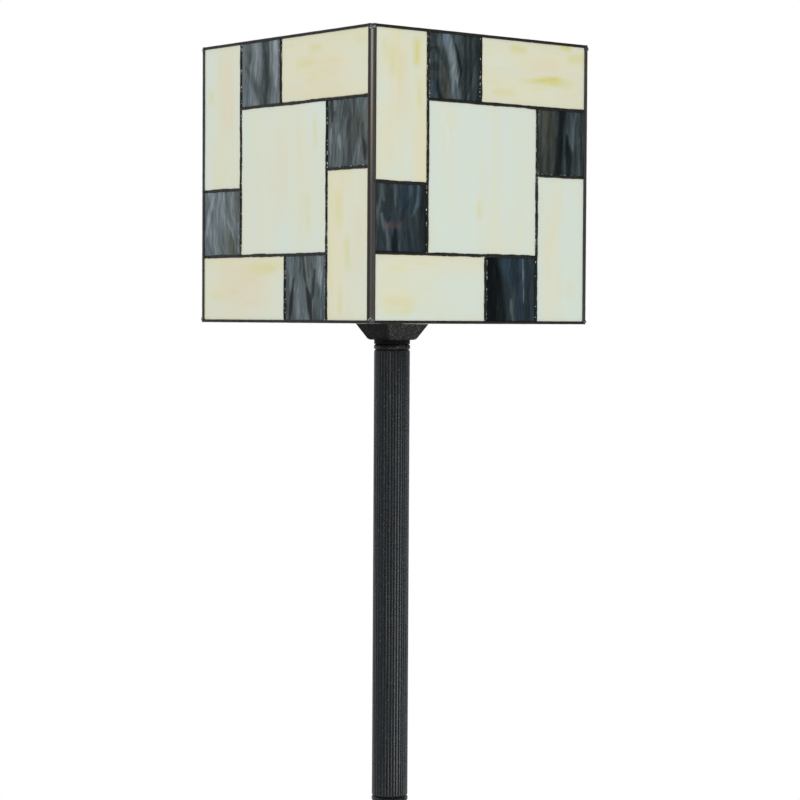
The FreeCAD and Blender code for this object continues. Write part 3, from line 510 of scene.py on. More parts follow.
# Each drawn pane: its ground in percent, the lean of its strands in degrees, then its strokes. A stroke has
# an ink, a half width in tenths of a millimetre, a strength in percent and places across and down in percent.
drawnPanes = {
    "front_tall_left": [(68, 0, 0), 0, ("cool", 50, 30, (3, 0), (5, 100)),
        ("cool", 60, 70, (12, 30), (16, 52)), ("blush", 60, 60, (55, 0), (52, 35), (55, 70)),
        ("amber", 30, 30, (36, 8), (36, 34)), ("amber", 36, 85, (79, 2), (80, 16), (79, 27)),
        ("amber", 26, 40, (80, 27), (86, 55)), ("amber", 30, 30, (18, 5), (20, 25)),
        ("cool", 120, 60, (15, 90), (35, 100))],
    "front_wide_top": [(72, 0, 0), 0, ("blush", 80, 50, (70, 75), (100, 85)),
        ("blush", 70, 50, (45, 35), (80, 42)), ("cool", 90, 30, (5, 35), (40, 40)),
        ("amber", 22, 50, (30, 62), (98, 58)), ("amber", 30, 90, (46, 60), (66, 58), (80, 57.5)),
        ("amber", 16, 50, (62, 65), (90, 66)), ("amber", 28, 50, (25, 13), (46, 20)),
        ("amber", 20, 80, (74, 3), (88, 5)), ("amber", 30, 50, (80, 22), (105, 20)),
        ("amber", 30, 40, (6, 78), (36, 84))],
    "front_middle": [(5, 0, 0), 0, ("amber", 30, 25, (47, 62), (46, 78)),
        ("warm", 50, 30, (22, 3), (22, 20)), ("warm", 50, 30, (56, 0), (56, 10))],
    "front_tall_right": [(0, 0, 0), 0, ("warm", 80, 15, (30, 10), (30, 60)),
        ("amber", 36, 20, (70, 70), (72, 84))],
    "front_wide_bottom": [(30, 0, 0), 0, ("warm", 140, 60, (0, 50), (35, 80)),
        ("amber", 40, 40, (3, 72), (20, 70), (42, 75)), ("amber", 20, 30, (5, 84), (36, 86)),
        ("amber", 30, 25, (10, 20), (30, 22)), ("cool", 160, 70, (50, 20), (100, 80))],
    "left_tall_left": [(50, 0, 0), 0, ("blush", 90, 70, (60, 0), (60, 70)),
        ("warm", 140, 50, (50, 60), (50, 100)), ("amber", 26, 45, (20, 28), (22, 42))],
    "left_wide_top": [(55, 0, 0), 0, ("blush", 180, 35, (20, 60), (80, 70)),
        ("amber", 36, 45, (15, 45), (42, 42)), ("amber", 30, 40, (30, 25), (50, 22)),
        ("amber", 40, 30, (80, 20), (100, 18))],
    "left_middle": [(18, 0, 0), 0, ("warm", 180, 50, (85, 10), (85, 90)),
        ("blush", 70, 30, (45, 10), (50, 90)), ("amber", 36, 35, (78, 55), (80, 95)),
        ("amber", 26, 35, (86, 5), (87, 35))],
    "left_tall_right": [(85, 0, 0), 0, ("amber", 36, 50, (50, 40), (52, 70)),
        ("amber", 40, 45, (25, 10), (30, 40)), ("amber", 30, 40, (35, 75), (33, 98)),
        ("blush", 70, 50, (75, 20), (75, 80))],
    "left_wide_bottom": [(70, 0, 0), 0, ("blush", 160, 80, (10, 40), (90, 45)),
        ("cool", 120, 40, (0, 95), (30, 98)), ("amber", 40, 50, (50, 15), (98, 20)),
        ("amber", 30, 35, (5, 60), (30, 62))],
    "front_top": [(48, 0, 0), 8, ("slate", 70, 60, (8, -5), (14, 30)), ("ash", 26, 70, (19, -5), (21, 22)),
        ("deep", 50, 70, (10, 45), (18, 60)), ("deep", 13, 80, (0, 30), (12, 23), (22, 33), (26, 45)),
        ("olive", 42, 80, (22, 40), (28, 62), (32, 84), (38, 110)), ("dusk", 12, 60, (25, 50), (31, 90)),
        ("blue", 50, 80, (8, 72), (12, 110)), ("black", 24, 80, (16, 70), (25, 110)),
        ("pale", 48, 95, (32, -15), (40, 21), (46, 42), (50, 63), (58, 115)),
        ("sky", 22, 70, (30, -10), (36, 25)), ("blue", 16, 60, (52, 68), (55, 105)),
        ("slate", 34, 80, (54, -10), (60, 20), (66, 52)),
        ("black", 13, 90, (44, 2), (55, 27), (61, 50), (63, 80)), ("deep", 11, 70, (70, -5), (71, 105)),
        ("slate", 11, 60, (76, -5), (76, 105)), ("deep", 11, 80, (81, -5), (81, 105)),
        ("slate", 13, 50, (88, -5), (88, 105)), ("deep", 11, 70, (94, -5), (95, 105))],
    "front_right": [(66, 0, 15), 3, ("moss", 100, 75, (20, -20), (20, 50), (14, 120)),
        ("deep", 14, 50, (8, -10), (7, 110)), ("olive", 18, 60, (16, -5), (14, 55)),
        ("dusk", 22, 50, (25, 20), (21, 100)), ("olive", 26, 60, (34, 0), (29, 75)),
        ("ash", 18, 60, (44, -5), (41, 25), (37, 46)),
        ("black", 46, 90, (52, -5), (50, 35), (47, 70), (42, 115)),
        ("black", 42, 90, (61, 34), (68, 70), (66, 120)), ("slate", 18, 70, (60, 12), (57, 55)),
        ("slate", 50, 60, (84, -10), (86, 50), (88, 110)), ("ash", 14, 40, (76, 5), (80, 65)),
        ("dusk", 14, 60, (82, 30), (84, 110)), ("deep", 14, 60, (93, -5), (95, 105))],
    "front_bottom": [(30, 0, 70), 3, ("black", 100, 100, (2, -20), (10, 50), (14, 120)),
        ("deep", 86, 70, (20, 10), (34, 55), (44, 120)), ("black", 42, 90, (20, 10), (30, 55), (38, 120)),
        ("navy", 50, 60, (40, -10), (50, 40)), ("slate", 26, 70, (55, 40), (58, 75), (56, 110)),
        ("ash", 16, 60, (50, 62), (55, 110)), ("blue", 26, 50, (70, -5), (72, 75)),
        ("white", 9, 80, (73, -5), (75, 35), (77, 78)), ("slate", 12, 50, (66, 20), (68, 105)),
        ("deep", 16, 80, (82, -5), (83, 105)), ("dusk", 24, 60, (92, -5), (92, 105)),
        ("deep", 10, 60, (88, 10), (88, 105))],
    "front_left": [(38, 0, 25), -4, ("ash", 42, 70, (9, -10), (14, 12), (19, 28)),
        ("ash", 18, 70, (13, 2), (6, 45), (3, 75), (0, 105)), ("moss", 30, 50, (20, 0), (23, 26)),
        ("slate", 16, 80, (38, -5), (40, 35)), ("slate", 13, 70, (48, -5), (50, 50)),
        ("deep", 26, 60, (30, 5), (33, 45)), ("navy", 60, 80, (58, 0), (56, 42)),
        ("blue", 26, 90, (68, -10), (66, 25)), ("sky", 20, 60, (86, -5), (82, 28), (70, 50)),
        ("slate", 18, 80, (80, 35), (78, 78)), ("deep", 30, 60, (90, 30), (88, 90)),
        ("ash", 28, 95, (12, 42), (20, 62), (27, 80), (29, 110)), ("blue", 30, 60, (31, 50), (30, 85)),
        ("black", 40, 80, (40, 64), (37, 115)), ("slate", 30, 50, (12, 80), (16, 110)),
        ("slate", 20, 50, (47, 80), (52, 110)), ("deep", 50, 70, (97, -5), (96, 105))],
    # The dark panes of the left face are drawn paler than those of the front: the grey veil of reflected
    # light is painted into their tones, over the strands of the glass
    "left_top": [(88, 0, 0), 3, ("pale", 60, 50, (38, -10), (40, 65)),
        ("slate", 24, 60, (20, -5), (22, 35)), ("slate", 40, 60, (8, 35), (30, 62), (42, 78), (52, 100)),
        ("slate", 50, 60, (58, -10), (63, 35), (64, 65), (62, 110)),
        ("deep", 22, 85, (61, 15), (64.5, 50), (64, 70), (61, 110)), ("dusk", 14, 60, (56, -5), (59, 40)),
        ("pale", 50, 70, (88, 45), (84, 110)), ("white", 32, 95, (85, -15), (87, 30), (86, 75)),
        ("pale", 16, 60, (74, 0), (77, 70)), ("slate", 16, 50, (97, -5), (98, 60)),
        ("sky", 50, 30, (10, 65), (16, 110))],
    "left_right": [(68, 10, 0), 4, ("deep", 24, 90, (12, 0), (11, 34)),
        ("pale", 14, 80, (19, -2), (17, 18)), ("dusk", 30, 80, (43, 2), (44, 30)),
        ("deep", 12, 70, (33, 2), (28, 36)), ("dusk", 16, 70, (37, 20), (30, 55)),
        ("slate", 14, 70, (24, 10), (22, 40)), ("pale", 28, 80, (8, 40), (9, 82)),
        ("pale", 24, 70, (30, 50), (32, 76)), ("slate", 18, 80, (19, 42), (20, 100)),
        ("ash", 24, 70, (55, 15), (58, 65)), ("deep", 14, 60, (52, 30), (50, 70)),
        ("dusk", 18, 70, (53, 50), (50, 100)), ("dusk", 14, 70, (64, -5), (65, 30)),
        ("olive", 22, 70, (70, 22), (68, 66)), ("slate", 24, 70, (78, 0), (80, 50)),
        ("dusk", 14, 70, (75, 30), (73, 70)), ("straw", 36, 70, (96, 5), (94, 48)),
        ("moss", 26, 60, (86, 35), (85, 66)), ("black", 22, 90, (86, 55), (92, 92)),
        ("straw", 30, 60, (78, 74), (84, 105)), ("slate", 20, 70, (40, 70), (42, 110)),
        ("sky", 16, 40, (62, 60), (62, 105))],
    "left_bottom": [(83, 0, 10), -4, ("slate", 40, 60, (5, 20), (4, 110)),
        ("pale", 30, 30, (34, 25), (34, 95)), ("slate", 14, 60, (24, -5), (20, 40)),
        ("black", 22, 100, (21, 32), (16, 62), (11, 100)), ("olive", 30, 80, (54, -10), (60, 36)),
        ("moss", 18, 95, (40, -10), (47, 25), (55, 60)), ("deep", 16, 90, (42, -5), (50, 40)),
        ("dusk", 30, 70, (64, 10), (70, 30), (66, 70)), ("black", 12, 80, (73, 20), (69, 50), (64, 80)),
        ("dusk", 50, 50, (78, 40), (74, 110)), ("black", 32, 100, (51, 46), (59, 68), (64, 100)),
        ("pale", 42, 80, (82, -10), (86, 48)), ("blue", 14, 70, (97, 5), (90, 60), (93, 105))],
    "left_left": [(96, 0, 0), -10, ("ash", 18, 60, (18, -5), (12, 40)),
        ("olive", 60, 50, (88, 0), (92, 50)), ("white", 28, 60, (27, 6), (12, 42), (0, 80)),
        ("slate", 12, 60, (30, 10), (18, 50)), ("ash", 30, 50, (30, 70), (28, 110)),
        ("sky", 22, 60, (37, 0), (24, 45), (19, 90)), ("slate", 14, 60, (46, 10), (36, 60)),
        ("sky", 40, 30, (42, 50), (48, 70)), ("straw", 80, 40, (60, 50), (62, 110)),
        ("olive", 60, 60, (76, 60), (84, 110)), ("white", 10, 60, (54, 36), (88, 78)),
        ("white", 10, 50, (70, 58), (100, 100))],
}
# The faces that no strokes are drawn for get mixed ones
creamMix = {"ground": (0.1, 0.7), "width": (0.002, 0.007), "strength": (0.2, 0.5), "bow": 0.03,
            "inks": ["cool", "blush", "amber", "warm", "cool", "amber", "warm", "blush"]}
darkMix = {"ground": (0.35, 0.75), "width": (0.0010, 0.0042), "strength": (0.6, 1.0), "bow": 0.06,
           "inks": ["slate", "deep", "pale", "olive", "black", "blue", "ash", "dusk", "white", "moss",
                    "slate", "deep", "navy", "ash"]}


def mixedPaint(mix, seed):
    chance = random.Random(seed)
    inks = chance.sample(mix["inks"], len(mix["inks"]))
    strokes = []
    for number, ink in enumerate(inks):
        across = (number + chance.uniform(0.1, 0.9)) / len(inks)
        start, end = chance.uniform(-0.1, 0.4), chance.uniform(0.6, 1.1)
        way = [(across + chance.uniform(-1, 1) * mix["bow"], start + (end - start) * share)
               for share in (0.0, 0.33, 0.67, 1.0)]
        strokes.append((ink, chance.uniform(*mix["width"]), chance.uniform(*mix["strength"]), *way))
    return (chance.uniform(*mix["ground"]), 0.0, 0.0), chance.uniform(-8, 8), strokes


def drawnPaint(ground, lean, *strokes):
    lines = [(ink, width / 10000, strength / 100, *[(s / 100, t / 100) for s, t in way])
             for ink, width, strength, *way in strokes]
    return [share / 100 for share in ground], lean, lines


def strokeLines(strokes, wide, high):
    lines = []
    for ink, width, strength, *way in strokes:
        places = [Vector((s * wide, t * high)) for s, t in way]
        runs = [(a, b - a, (b - a).length) for a, b in zip(places, places[1:])]
        whole = sum(length for a, run, length in runs)
        inside = [0 <= min(end) and max(end) <= 1 for end in (way[0], way[-1])]
        ends = [0.0 if within else whole for within in inside]  # an end outside the pane has no taper
        lines.append((ink, width, strength, runs, whole, ends))
    return lines


strokeTip = 0.3  # share of the width that a stroke keeps at its ends


def paintAt(ground, lines, kind, spot, drift):
    colour = Vector(ground)
    for ink, width, strength, runs, whole, ends in lines:
        nearest, reached, passed = 1.0, 0.0, 0.0
        for start, run, length in runs:
            share = min(max((spot - start).dot(run) / length ** 2, 0.0), 1.0)
            gap = (start + run * share - spot).length
            if gap < nearest:
                nearest, reached = gap, passed + share * length
            passed += length
        taper = min(reached + ends[0], whole - reached + ends[1]) / (kind["taper"] * whole)
        far = (nearest + drift * kind["ragged"]) / (width * min(strokeTip + (1 - strokeTip) * taper, 1.0))
        cover = min(max((kind["outer"] - far) / (kind["outer"] - kind["inner"]), 0.0), 1.0)
        fade = min(taper * kind["taper"] / kind["fade"], 1.0)
        colour += (Vector(kind["inks"][ink]) - colour) * (strength * fade * cover * cover * (3 - 2 * cover))
    return colour


paneCut = {"wave": 0.00022, "waveScale": 24.0, "seedStep": 1.7, "paneStep": 0.83, "mapStep": (0.37, 0.61),
           "ragScale": (55, 330), "sharp": 50}
creamKind = {"inks": creamInks, "spots": creamSpots, "mix": creamMix, "level": ("wide_top", "wide_bottom"),
             "cell": 0.0022, "inner": 0.0, "outer": 2.0, "ragged": 0.0024, "taper": 0.1, "fade": 0.28}
darkKind = {"inks": darkInks, "spots": darkSpots, "mix": darkMix, "level": (),
            "cell": 0.0010, "inner": 0.35, "outer": 1.45, "ragged": 0.0014, "taper": 0.35, "fade": 0.05}


def trimPane(spot):
    u0, u1, v0, v1 = spot
    half, setback = shade["heart"] / 2, shade["setback"]
    u0 = setback if u0 == 0 else u0 + half
    u1 = side - setback if u1 == side else u1 - half
    v0 = lip if v0 == 0 else v0 + half
    v1 = tall - lip if v1 == tall else v1 - half
    return u0, u1, v0, v1


def makePanes(name, face, kind, finish, seed):
    points, faces, streaks, paint = [], [], [], []
    for number, (label, spot) in enumerate(kind["spots"].items()):
        u0, u1, v0, v1 = trimPane(spot)
        wide, high = u1 - u0, v1 - v0
        columns, rows = round(wide / kind["cell"]), round(high / kind["cell"])
        drawn = drawnPanes.get(face + "_" + label)
        ground, lean, strokes = drawnPaint(*drawn) if drawn else mixedPaint(kind["mix"], face + label)
        lines = strokeLines(strokes, wide, high)
        cosine, sine = math.cos(math.radians(lean)), math.sin(math.radians(lean))
        shift = seed * paneCut["seedStep"] + number * paneCut["paneStep"]
        mapAlong, mapAcross = (shift * step for step in paneCut["mapStep"])
        ragAlong, ragAcross = paneCut["ragScale"]
        first = len(points)
        for layer in (0, 1):
            for j in range(rows + 1):
                for i in range(columns + 1):
                    u, v = u0 + wide * i / columns, v0 + high * j / rows
                    swell = noise.noise(Vector((u, v, shift)) * paneCut["waveScale"]) * 0.5 + 0.5
                    points.append(onFace(u, v, lip + (shade["glass"] if layer else paneCut["wave"] * swell)))
                    along, across = (u, v) if label in kind["level"] else (v, u)
                    along, across = along * cosine - across * sine, along * sine + across * cosine
                    streaks.append((along + mapAlong, across + mapAcross))
                    if layer == 0:
                        drift = noise.noise(Vector((along * ragAlong, across * ragAcross, shift)))
                        paint.append(paintAt(ground, lines, kind, Vector((u - u0, v - v0)), drift))
        paint += paint[first:]  # the strokes go through the glass
        row = columns + 1
        backFirst = first + row * (rows + 1)
        for j in range(rows):
            for i in range(columns):
                a = first + j * row + i
                faces.append((a + row, a + row + 1, a + 1, a))
                b = backFirst + j * row + i
                faces.append((b, b + 1, b + row + 1, b + row))
        edge = list(range(columns)) + [columns + j * row for j in range(rows)]
        edge += [rows * row + i for i in range(columns, 0, -1)] + [j * row for j in range(rows, 0, -1)]
        for a, b in zip(edge, edge[1:] + edge[:1]):
            faces.append((first + a, first + b, backFirst + b, backFirst + a))
    turn = faceTurn(face)
    mesh = meshFrom(name, [turn @ p for p in points], faces, finish)
    layer = mesh.uv_layers.new(name="streakMap")
    layer.data.foreach_set("uv", [c for loop in mesh.loops for c in streaks[loop.vertex_index]])
    attribute = mesh.attributes.new("paint", "FLOAT_VECTOR", "POINT")
    attribute.data.foreach_set("vector", [c for value in paint for c in value])
    mesh.set_sharp_from_angle(angle=math.radians(paneCut["sharp"]))
    return newObject(name, mesh)


for turnNumber, face in enumerate(faceTurns):
    piece = makePanes(face + "_cream_glass", face, creamKind, finishes["cream_glass"], 1 + turnNumber)
    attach(piece, "shade")
    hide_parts(face + "_cream_panes")
    piece = makePanes(face + "_dark_glass", face, darkKind, finishes["dark_glass"], 11 + turnNumber)
    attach(piece, "shade")
    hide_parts(face + "_dark_panes")
print("panes made")


# Helpers for the Geometry Nodes trees
def movedTo(geometry, x, y, z):
    return made("GeometryNodeSetPosition", {0: geometry, "Position": combine(x, y, z)})


def turnedBy(geometry, angle):  # about the pole
    return made("GeometryNodeTransform", {0: geometry, "Rotation": combine(z=angle)})


def smoothed(geometry):
    return made("GeometryNodeSetShadeSmooth", {0: geometry, "Shade Smooth": True})


def tubeAlong(lines, radius, sides, **values):
    circle = made("GeometryNodeCurvePrimitiveCircle", {"Resolution": sides, "Radius": radius}, mode="RADIUS")
    return made("GeometryNodeCurveToMesh", {0: lines, 1: circle, "Fill Caps": True, **values})


def endTree(geometry, finish, out):
    real = made("GeometryNodeRealizeInstances", {0: geometry})
    fill(out, {0: made("GeometryNodeSetMaterial", {0: real, "Material": finish})})


# Solder seams as beads along the joins of the panes
seam = {"width": 0.0027, "proud": 0.0009, "step": 0.0012, "wander": 0.0005, "ripple": 0.0004, "inset": 0.0026,
        "sink": -0.0002, "shift": 2.3, "wanderScale": 38.0, "swellScale": 110.0, "swell": (0.82, 1.18),
        "rippleScale": 420.0, "sides": 10, "heartSides": 6}
# Bright grains along the seam edges are painted glints
glintSpecks = {"gap": 0.0013, "size": 0.00036, "stretch": 1.6, "keepAbove": 0.48, "seed": 5, "reach": (0.34, 0.5),
          "slide": (-0.5, 0.5), "lift": -0.45, "long": (0.4, 1.3), "broad": (0.6, 1.1)}
uprightSeams = [(seamLeft, 0, seamBottom), (seamRight, seamTop, tall), (topMid, 0, seamTop),
                (bottomMid, seamBottom, tall)]
levelSeams = [(seamTop, seamLeft, side), (seamBottom, 0, seamRight), (rightMid, seamRight, side),
              (leftMid, 0, seamLeft)]
glintLevels = [(rightMid, seamRight, side), (seamBottom, seamLeft, bottomMid)]


def seamLines(uprights, levels):
    near, far, points = seam["inset"], side - seam["inset"], []
    for u, v0, v1 in uprights:
        points += [onFace(u, max(v0, near), lip), onFace(u, min(v1, far), lip)]
    for v, u0, u1 in levels:
        points += [onFace(max(u0, near), v, lip), onFace(min(u1, far), v, lip)]
    return lineMesh("seamLines", points, [(i, i + 1) for i in range(0, len(points), 2)])


def makeSeamTree():
    tree, given, out = newTree("solderSeam", "GeometryNodeTree", "Geometry Width Proud Face Glass Heart Step "
                               "Wander Ripple Shift Turn Finish", "Geometry")
    place = put(tree, "GeometryNodeInputPosition").outputs[0]
    seeded = vectorCalc("ADD", place, combine(given["Shift"]))
    lines = made("GeometryNodeMeshToCurve", {0: given["Geometry"]})
    lines = made("GeometryNodeResampleCurve", {0: lines, "Length": given["Step"]}, mode="LENGTH")
    drift = vectorCalc("MULTIPLY", swayOf(seeded, seam["wanderScale"], 1.0), (2.0, 0.0, 2.0))
    lines = made("GeometryNodeSetPosition", {0: lines, "Offset": scaled(drift, given["Wander"])})
    swell = spread(grainOf(seeded, seam["swellScale"]), *noiseSpan, *seam["swell"])
    half = times(given["Width"], 0.5)
    bead = tubeAlong(lines, half, seam["sides"], Scale=swell)
    bumps = minus(grainOf(seeded, seam["rippleScale"]), 0.5)
    normal = put(tree, "GeometryNodeInputNormal").outputs[0]
    push = scaled(normal, times(bumps, times(given["Ripple"], 2.0)))
    bead = made("GeometryNodeSetPosition", {0: bead, "Offset": push})
    x, y, z = parts(place)
    flat = calc("DIVIDE", given["Proud"], half)
    outward = calc("MAXIMUM", minus(given["Face"], y), seam["sink"])
    outer = movedTo(bead, x, minus(given["Face"], times(outward, flat)), z)
    inward = calc("MAXIMUM", minus(y, given["Face"]), seam["sink"])
    inner = movedTo(bead, x, plus(plus(given["Face"], given["Glass"]), times(inward, flat)), z)
    deep = times(minus(y, given["Face"]), calc("DIVIDE", given["Glass"], given["Heart"]))
    middle = plus(given["Face"], times(given["Glass"], 0.5))
    heart = tubeAlong(lines, times(given["Heart"], 0.5), seam["heartSides"])
    heart = movedTo(heart, x, plus(middle, deep), z)
    joined = tree.nodes.new("GeometryNodeJoinGeometry")
    for part in (heart, inner, outer):
        tree.links.new(part, joined.inputs[0])
    endTree(smoothed(turnedBy(joined.outputs[0], given["Turn"])), given["Finish"], out)
    return tree


def makeGlintTree():  # bright grains along the edges of a bead, painted glints of light on the solder
    tree, given, out = newTree("solderGlints", "GeometryNodeTree",
                               "Geometry Gap Width Proud Size Stretch Seed Turn Finish", "Geometry")

    def chance(step, low, high):
        values = {2: low, 3: high, "Seed": plus(given["Seed"], float(step))}
        return put(tree, "FunctionNodeRandomValue", values, data_type="FLOAT").outputs[1]
    lines = made("GeometryNodeMeshToCurve", {0: given["Geometry"]})
    along = put(tree, "GeometryNodeCurveToPoints", {0: lines, "Length": given["Gap"]}, mode="LENGTH").outputs
    sideways = vectorCalc("CROSS_PRODUCT", along["Tangent"], (0.0, 1.0, 0.0))
    sign = calc("SIGN", chance(1, -1.0, 1.0))
    reach = times(times(given["Width"], chance(2, *glintSpecks["reach"])), sign)
    slide = times(given["Gap"], chance(3, *glintSpecks["slide"]))
    offset = vectorCalc("ADD", scaled(sideways, reach), scaled(along["Tangent"], slide))
    offset = vectorCalc("ADD", offset, combine(y=times(given["Proud"], glintSpecks["lift"])))
    spots = made("GeometryNodeSetPosition", {0: along["Points"], "Offset": offset})
    keep = calc("GREATER_THAN", chance(4, 0.0, 1.0), glintSpecks["keepAbove"])
    grain = made("GeometryNodeMeshIcoSphere", {"Radius": given["Size"], "Subdivisions": 1})
    long = times(given["Stretch"], chance(5, *glintSpecks["long"]))
    broad = chance(6, *glintSpecks["broad"])
    placed = made("GeometryNodeInstanceOnPoints",
                  {0: spots, "Selection": keep, "Instance": grain, "Rotation": along["Rotation"],
                   "Scale": combine(broad, broad, long)})
    endTree(turnedBy(placed, given["Turn"]), given["Finish"], out)
    return tree


seamTree, glintTree = makeSeamTree(), makeGlintTree()
for turnNumber, face in enumerate(faceTurns):
    turn = math.radians(faceTurns[face])
    piece = growPiece(face + "_solder_seams", seamTree, seamLines(uprightSeams, levelSeams),
                      {"Width": seam["width"], "Proud": seam["proud"], "Face": lip - side / 2,
                       "Glass": shade["glass"], "Heart": shade["heart"], "Step": seam["step"],
                       "Wander": seam["wander"], "Ripple": seam["ripple"],
                       "Shift": seam["shift"] * turnNumber, "Turn": turn, "Finish": finishes["solder"]})
    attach(piece, "shade")
    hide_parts(face + "_seams")
    piece = growPiece(face + "_solder_glints", glintTree, seamLines(uprightSeams, glintLevels),
                      {"Gap": glintSpecks["gap"], "Width": seam["width"], "Proud": seam["proud"],
                       "Size": glintSpecks["size"], "Stretch": glintSpecks["stretch"],
                       "Seed": glintSpecks["seed"] + turnNumber, "Turn": turn,
                       "Finish": finishes["bright_solder"]})
    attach(piece, "shade")
print("seams made")


# Corner cames and rims, drawn as a section swept along a straight run with a hand-finished ripple
came = {"leg": 0.005, "lap": 0.001, "inner": 0.00751, "round": 0.004, "ease": 0.0001, "ripple": 0.00006,
        "step": 0.0025}
rim = {"deep": 0.005, "high": 0.0024, "round": 0.0008, "ripple": 0.00014, "step": 0.003}
runScale = 260  # of the ripple along a run


def corner(x, y, start, count, radius):  # quarter circle round (x, y)
    return [(x + radius * math.cos(math.radians(start + 90 * i / count)),
             y + radius * math.sin(math.radians(start + 90 * i / count))) for i in range(count + 1)]


def cameSection():
    w, t, q, r, e = (came[key] for key in ("leg", "lap", "inner", "round", "ease"))
    g, d = shade["setback"], lip + shade["glass"]
    arc = [(r - r * math.cos(math.radians(a)), r - r * math.sin(math.radians(a))) for a in range(0, 91, 9)]
    edge = [(w - 4 * e, 0.0), (w - e, 2 * e), (w, 5 * e), (w, t), (g, t), (g, d), (q, d)]
    return arc + edge + [(b, a) for a, b in reversed(edge)]


def sweepRun(points, faces, section, stations, placeOf, ripple, seed):
    first, count = len(points), len(section)
    middle = Vector((sum(p[0] for p in section) / count, sum(p[1] for p in section) / count))
    for s in stations:
        for a, b in section:
            away = (Vector((a, b)) - middle).normalized()
            push = noise.noise(placeOf(a, b, s) * runScale + Vector((seed, 0, 0))) * ripple
            points.append(placeOf(a + away.x * push, b + away.y * push, s))
    for k in range(len(stations) - 1):
        for i in range(count):
            j = (i + 1) % count
            faces.append((first + k * count + i, first + k * count + j,
                          first + (k + 1) * count + j, first + (k + 1) * count + i))
    faces.append(tuple(first + i for i in reversed(range(count))))
    faces.append(tuple(first + (len(stations) - 1) * count + i for i in range(count)))


def evenly(start, end, step):
    count = max(1, round((end - start) / step))
    return [start + (end - start) * i / count for i in range(count + 1)]


def closeMesh(mesh, sharp=48):
    shell = bmesh.new()
    shell.from_mesh(mesh)
    bmesh.ops.remove_doubles(shell, verts=shell.verts, dist=1e-7)
    bmesh.ops.recalc_face_normals(shell, faces=shell.faces)
    shell.to_mesh(mesh)
    shell.free()
    mesh.set_sharp_from_angle(angle=math.radians(sharp))


def makeCames():
    points, faces, section = [], [], cameSection()
    for number, face in enumerate(faceTurns):
        turn = faceTurn(face)
        sweepRun(points, faces, section, evenly(shade["bottom"], shadeTop, came["step"]),
                 lambda a, b, s: turn @ Vector((a - side / 2, b - side / 2, s)), came["ripple"], number)
    mesh = meshFrom("corner_bars", points, faces, finishes["lead_came"])
    crestAt = Vector((1, 1)) * came["round"] * (1 - math.sqrt(0.5))
    crest = [max(0.0, 1 - (Vector(spot) - crestAt).length / came["round"]) for spot in section]
    attribute = mesh.attributes.new("crest", "FLOAT", "POINT")
    attribute.data.foreach_set("value", crest * (len(points) // len(section)))
    closeMesh(mesh)
    return newObject("corner_bars", mesh)


def makeRim(name, v0):
    points, faces = [], []
    d, h, r = rim["deep"], rim["high"], rim["round"]
    section = corner(d - r, h - r, 0, 4, r) + corner(r, h - r, 90, 4, r) + corner(r, r, 180, 4, r)
    section += corner(d - r, r, 270, 4, r)
    for number, face in enumerate(faceTurns):
        turn = faceTurn(face)
        sweepRun(points, faces, section, evenly(shade["setback"], side - shade["setback"], rim["step"]),
                 lambda a, b, s: turn @ onFace(s, v0 + b, a), rim["ripple"], number + v0 * 40)
    mesh = meshFrom(name, points, faces, finishes["solder"])
    closeMesh(mesh)
    return newObject(name, mesh)


lump = {"radius": 0.0030, "inset": 0.0028, "squash": 0.8, "ripple": 0.0009, "rippleScale": 420.0,
        "apart": 7.0}


def makeLumps():  # blobs of solder that close the ends of the cames, dark with white flecks painted on as glints
    half = side / 2 - lump["inset"]
    shell = bmesh.new()
    for face in faceTurns:
        for z, number in ((shade["bottom"] + lump["inset"], 1), (shadeTop - lump["inset"], 2)):
            for vert in bmesh.ops.create_icosphere(shell, subdivisions=3, radius=lump["radius"])["verts"]:
                place = vert.co.copy()
                seeded = place * lump["rippleScale"] + Vector((faceTurns[face], number * lump["apart"], 0.0))
                place *= 1 + noise.noise(seeded) * lump["ripple"] / lump["radius"]
                place.z *= lump["squash"]
                vert.co = faceTurn(face) @ (place + Vector((-half, -half, z)))
    mesh = bpy.data.meshes.new("corner_solder")
    shell.to_mesh(mesh)
    shell.free()
    mesh.materials.append(finishes["solder_with_glints"])
    mesh.polygons.foreach_set("use_smooth", [True] * len(mesh.polygons))
    return newObject("corner_solder", mesh)


cornerSolder = makeLumps()
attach(cornerSolder, "shade")
for piece, node in ((makeCames(), "corner_cames"), (makeRim("top_edge", 0.0), "top_rim"),
                    (makeRim("bottom_edge", tall - rim["high"]), "bottom_rim")):
    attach(piece, "shade")
    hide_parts(node)
print("cames and rims made")


# Fluted pole sections, turned from an outline
pole = {"radius": 0.015, "bore": 0.0128, "endRound": 0.0012, "flutes": 36, "depth": 0.0006, "share": 0.5,
        "perFlute": 10, "step": 0.04, "sharp": 60, "sections": ["lower", "middle", "upper"]}


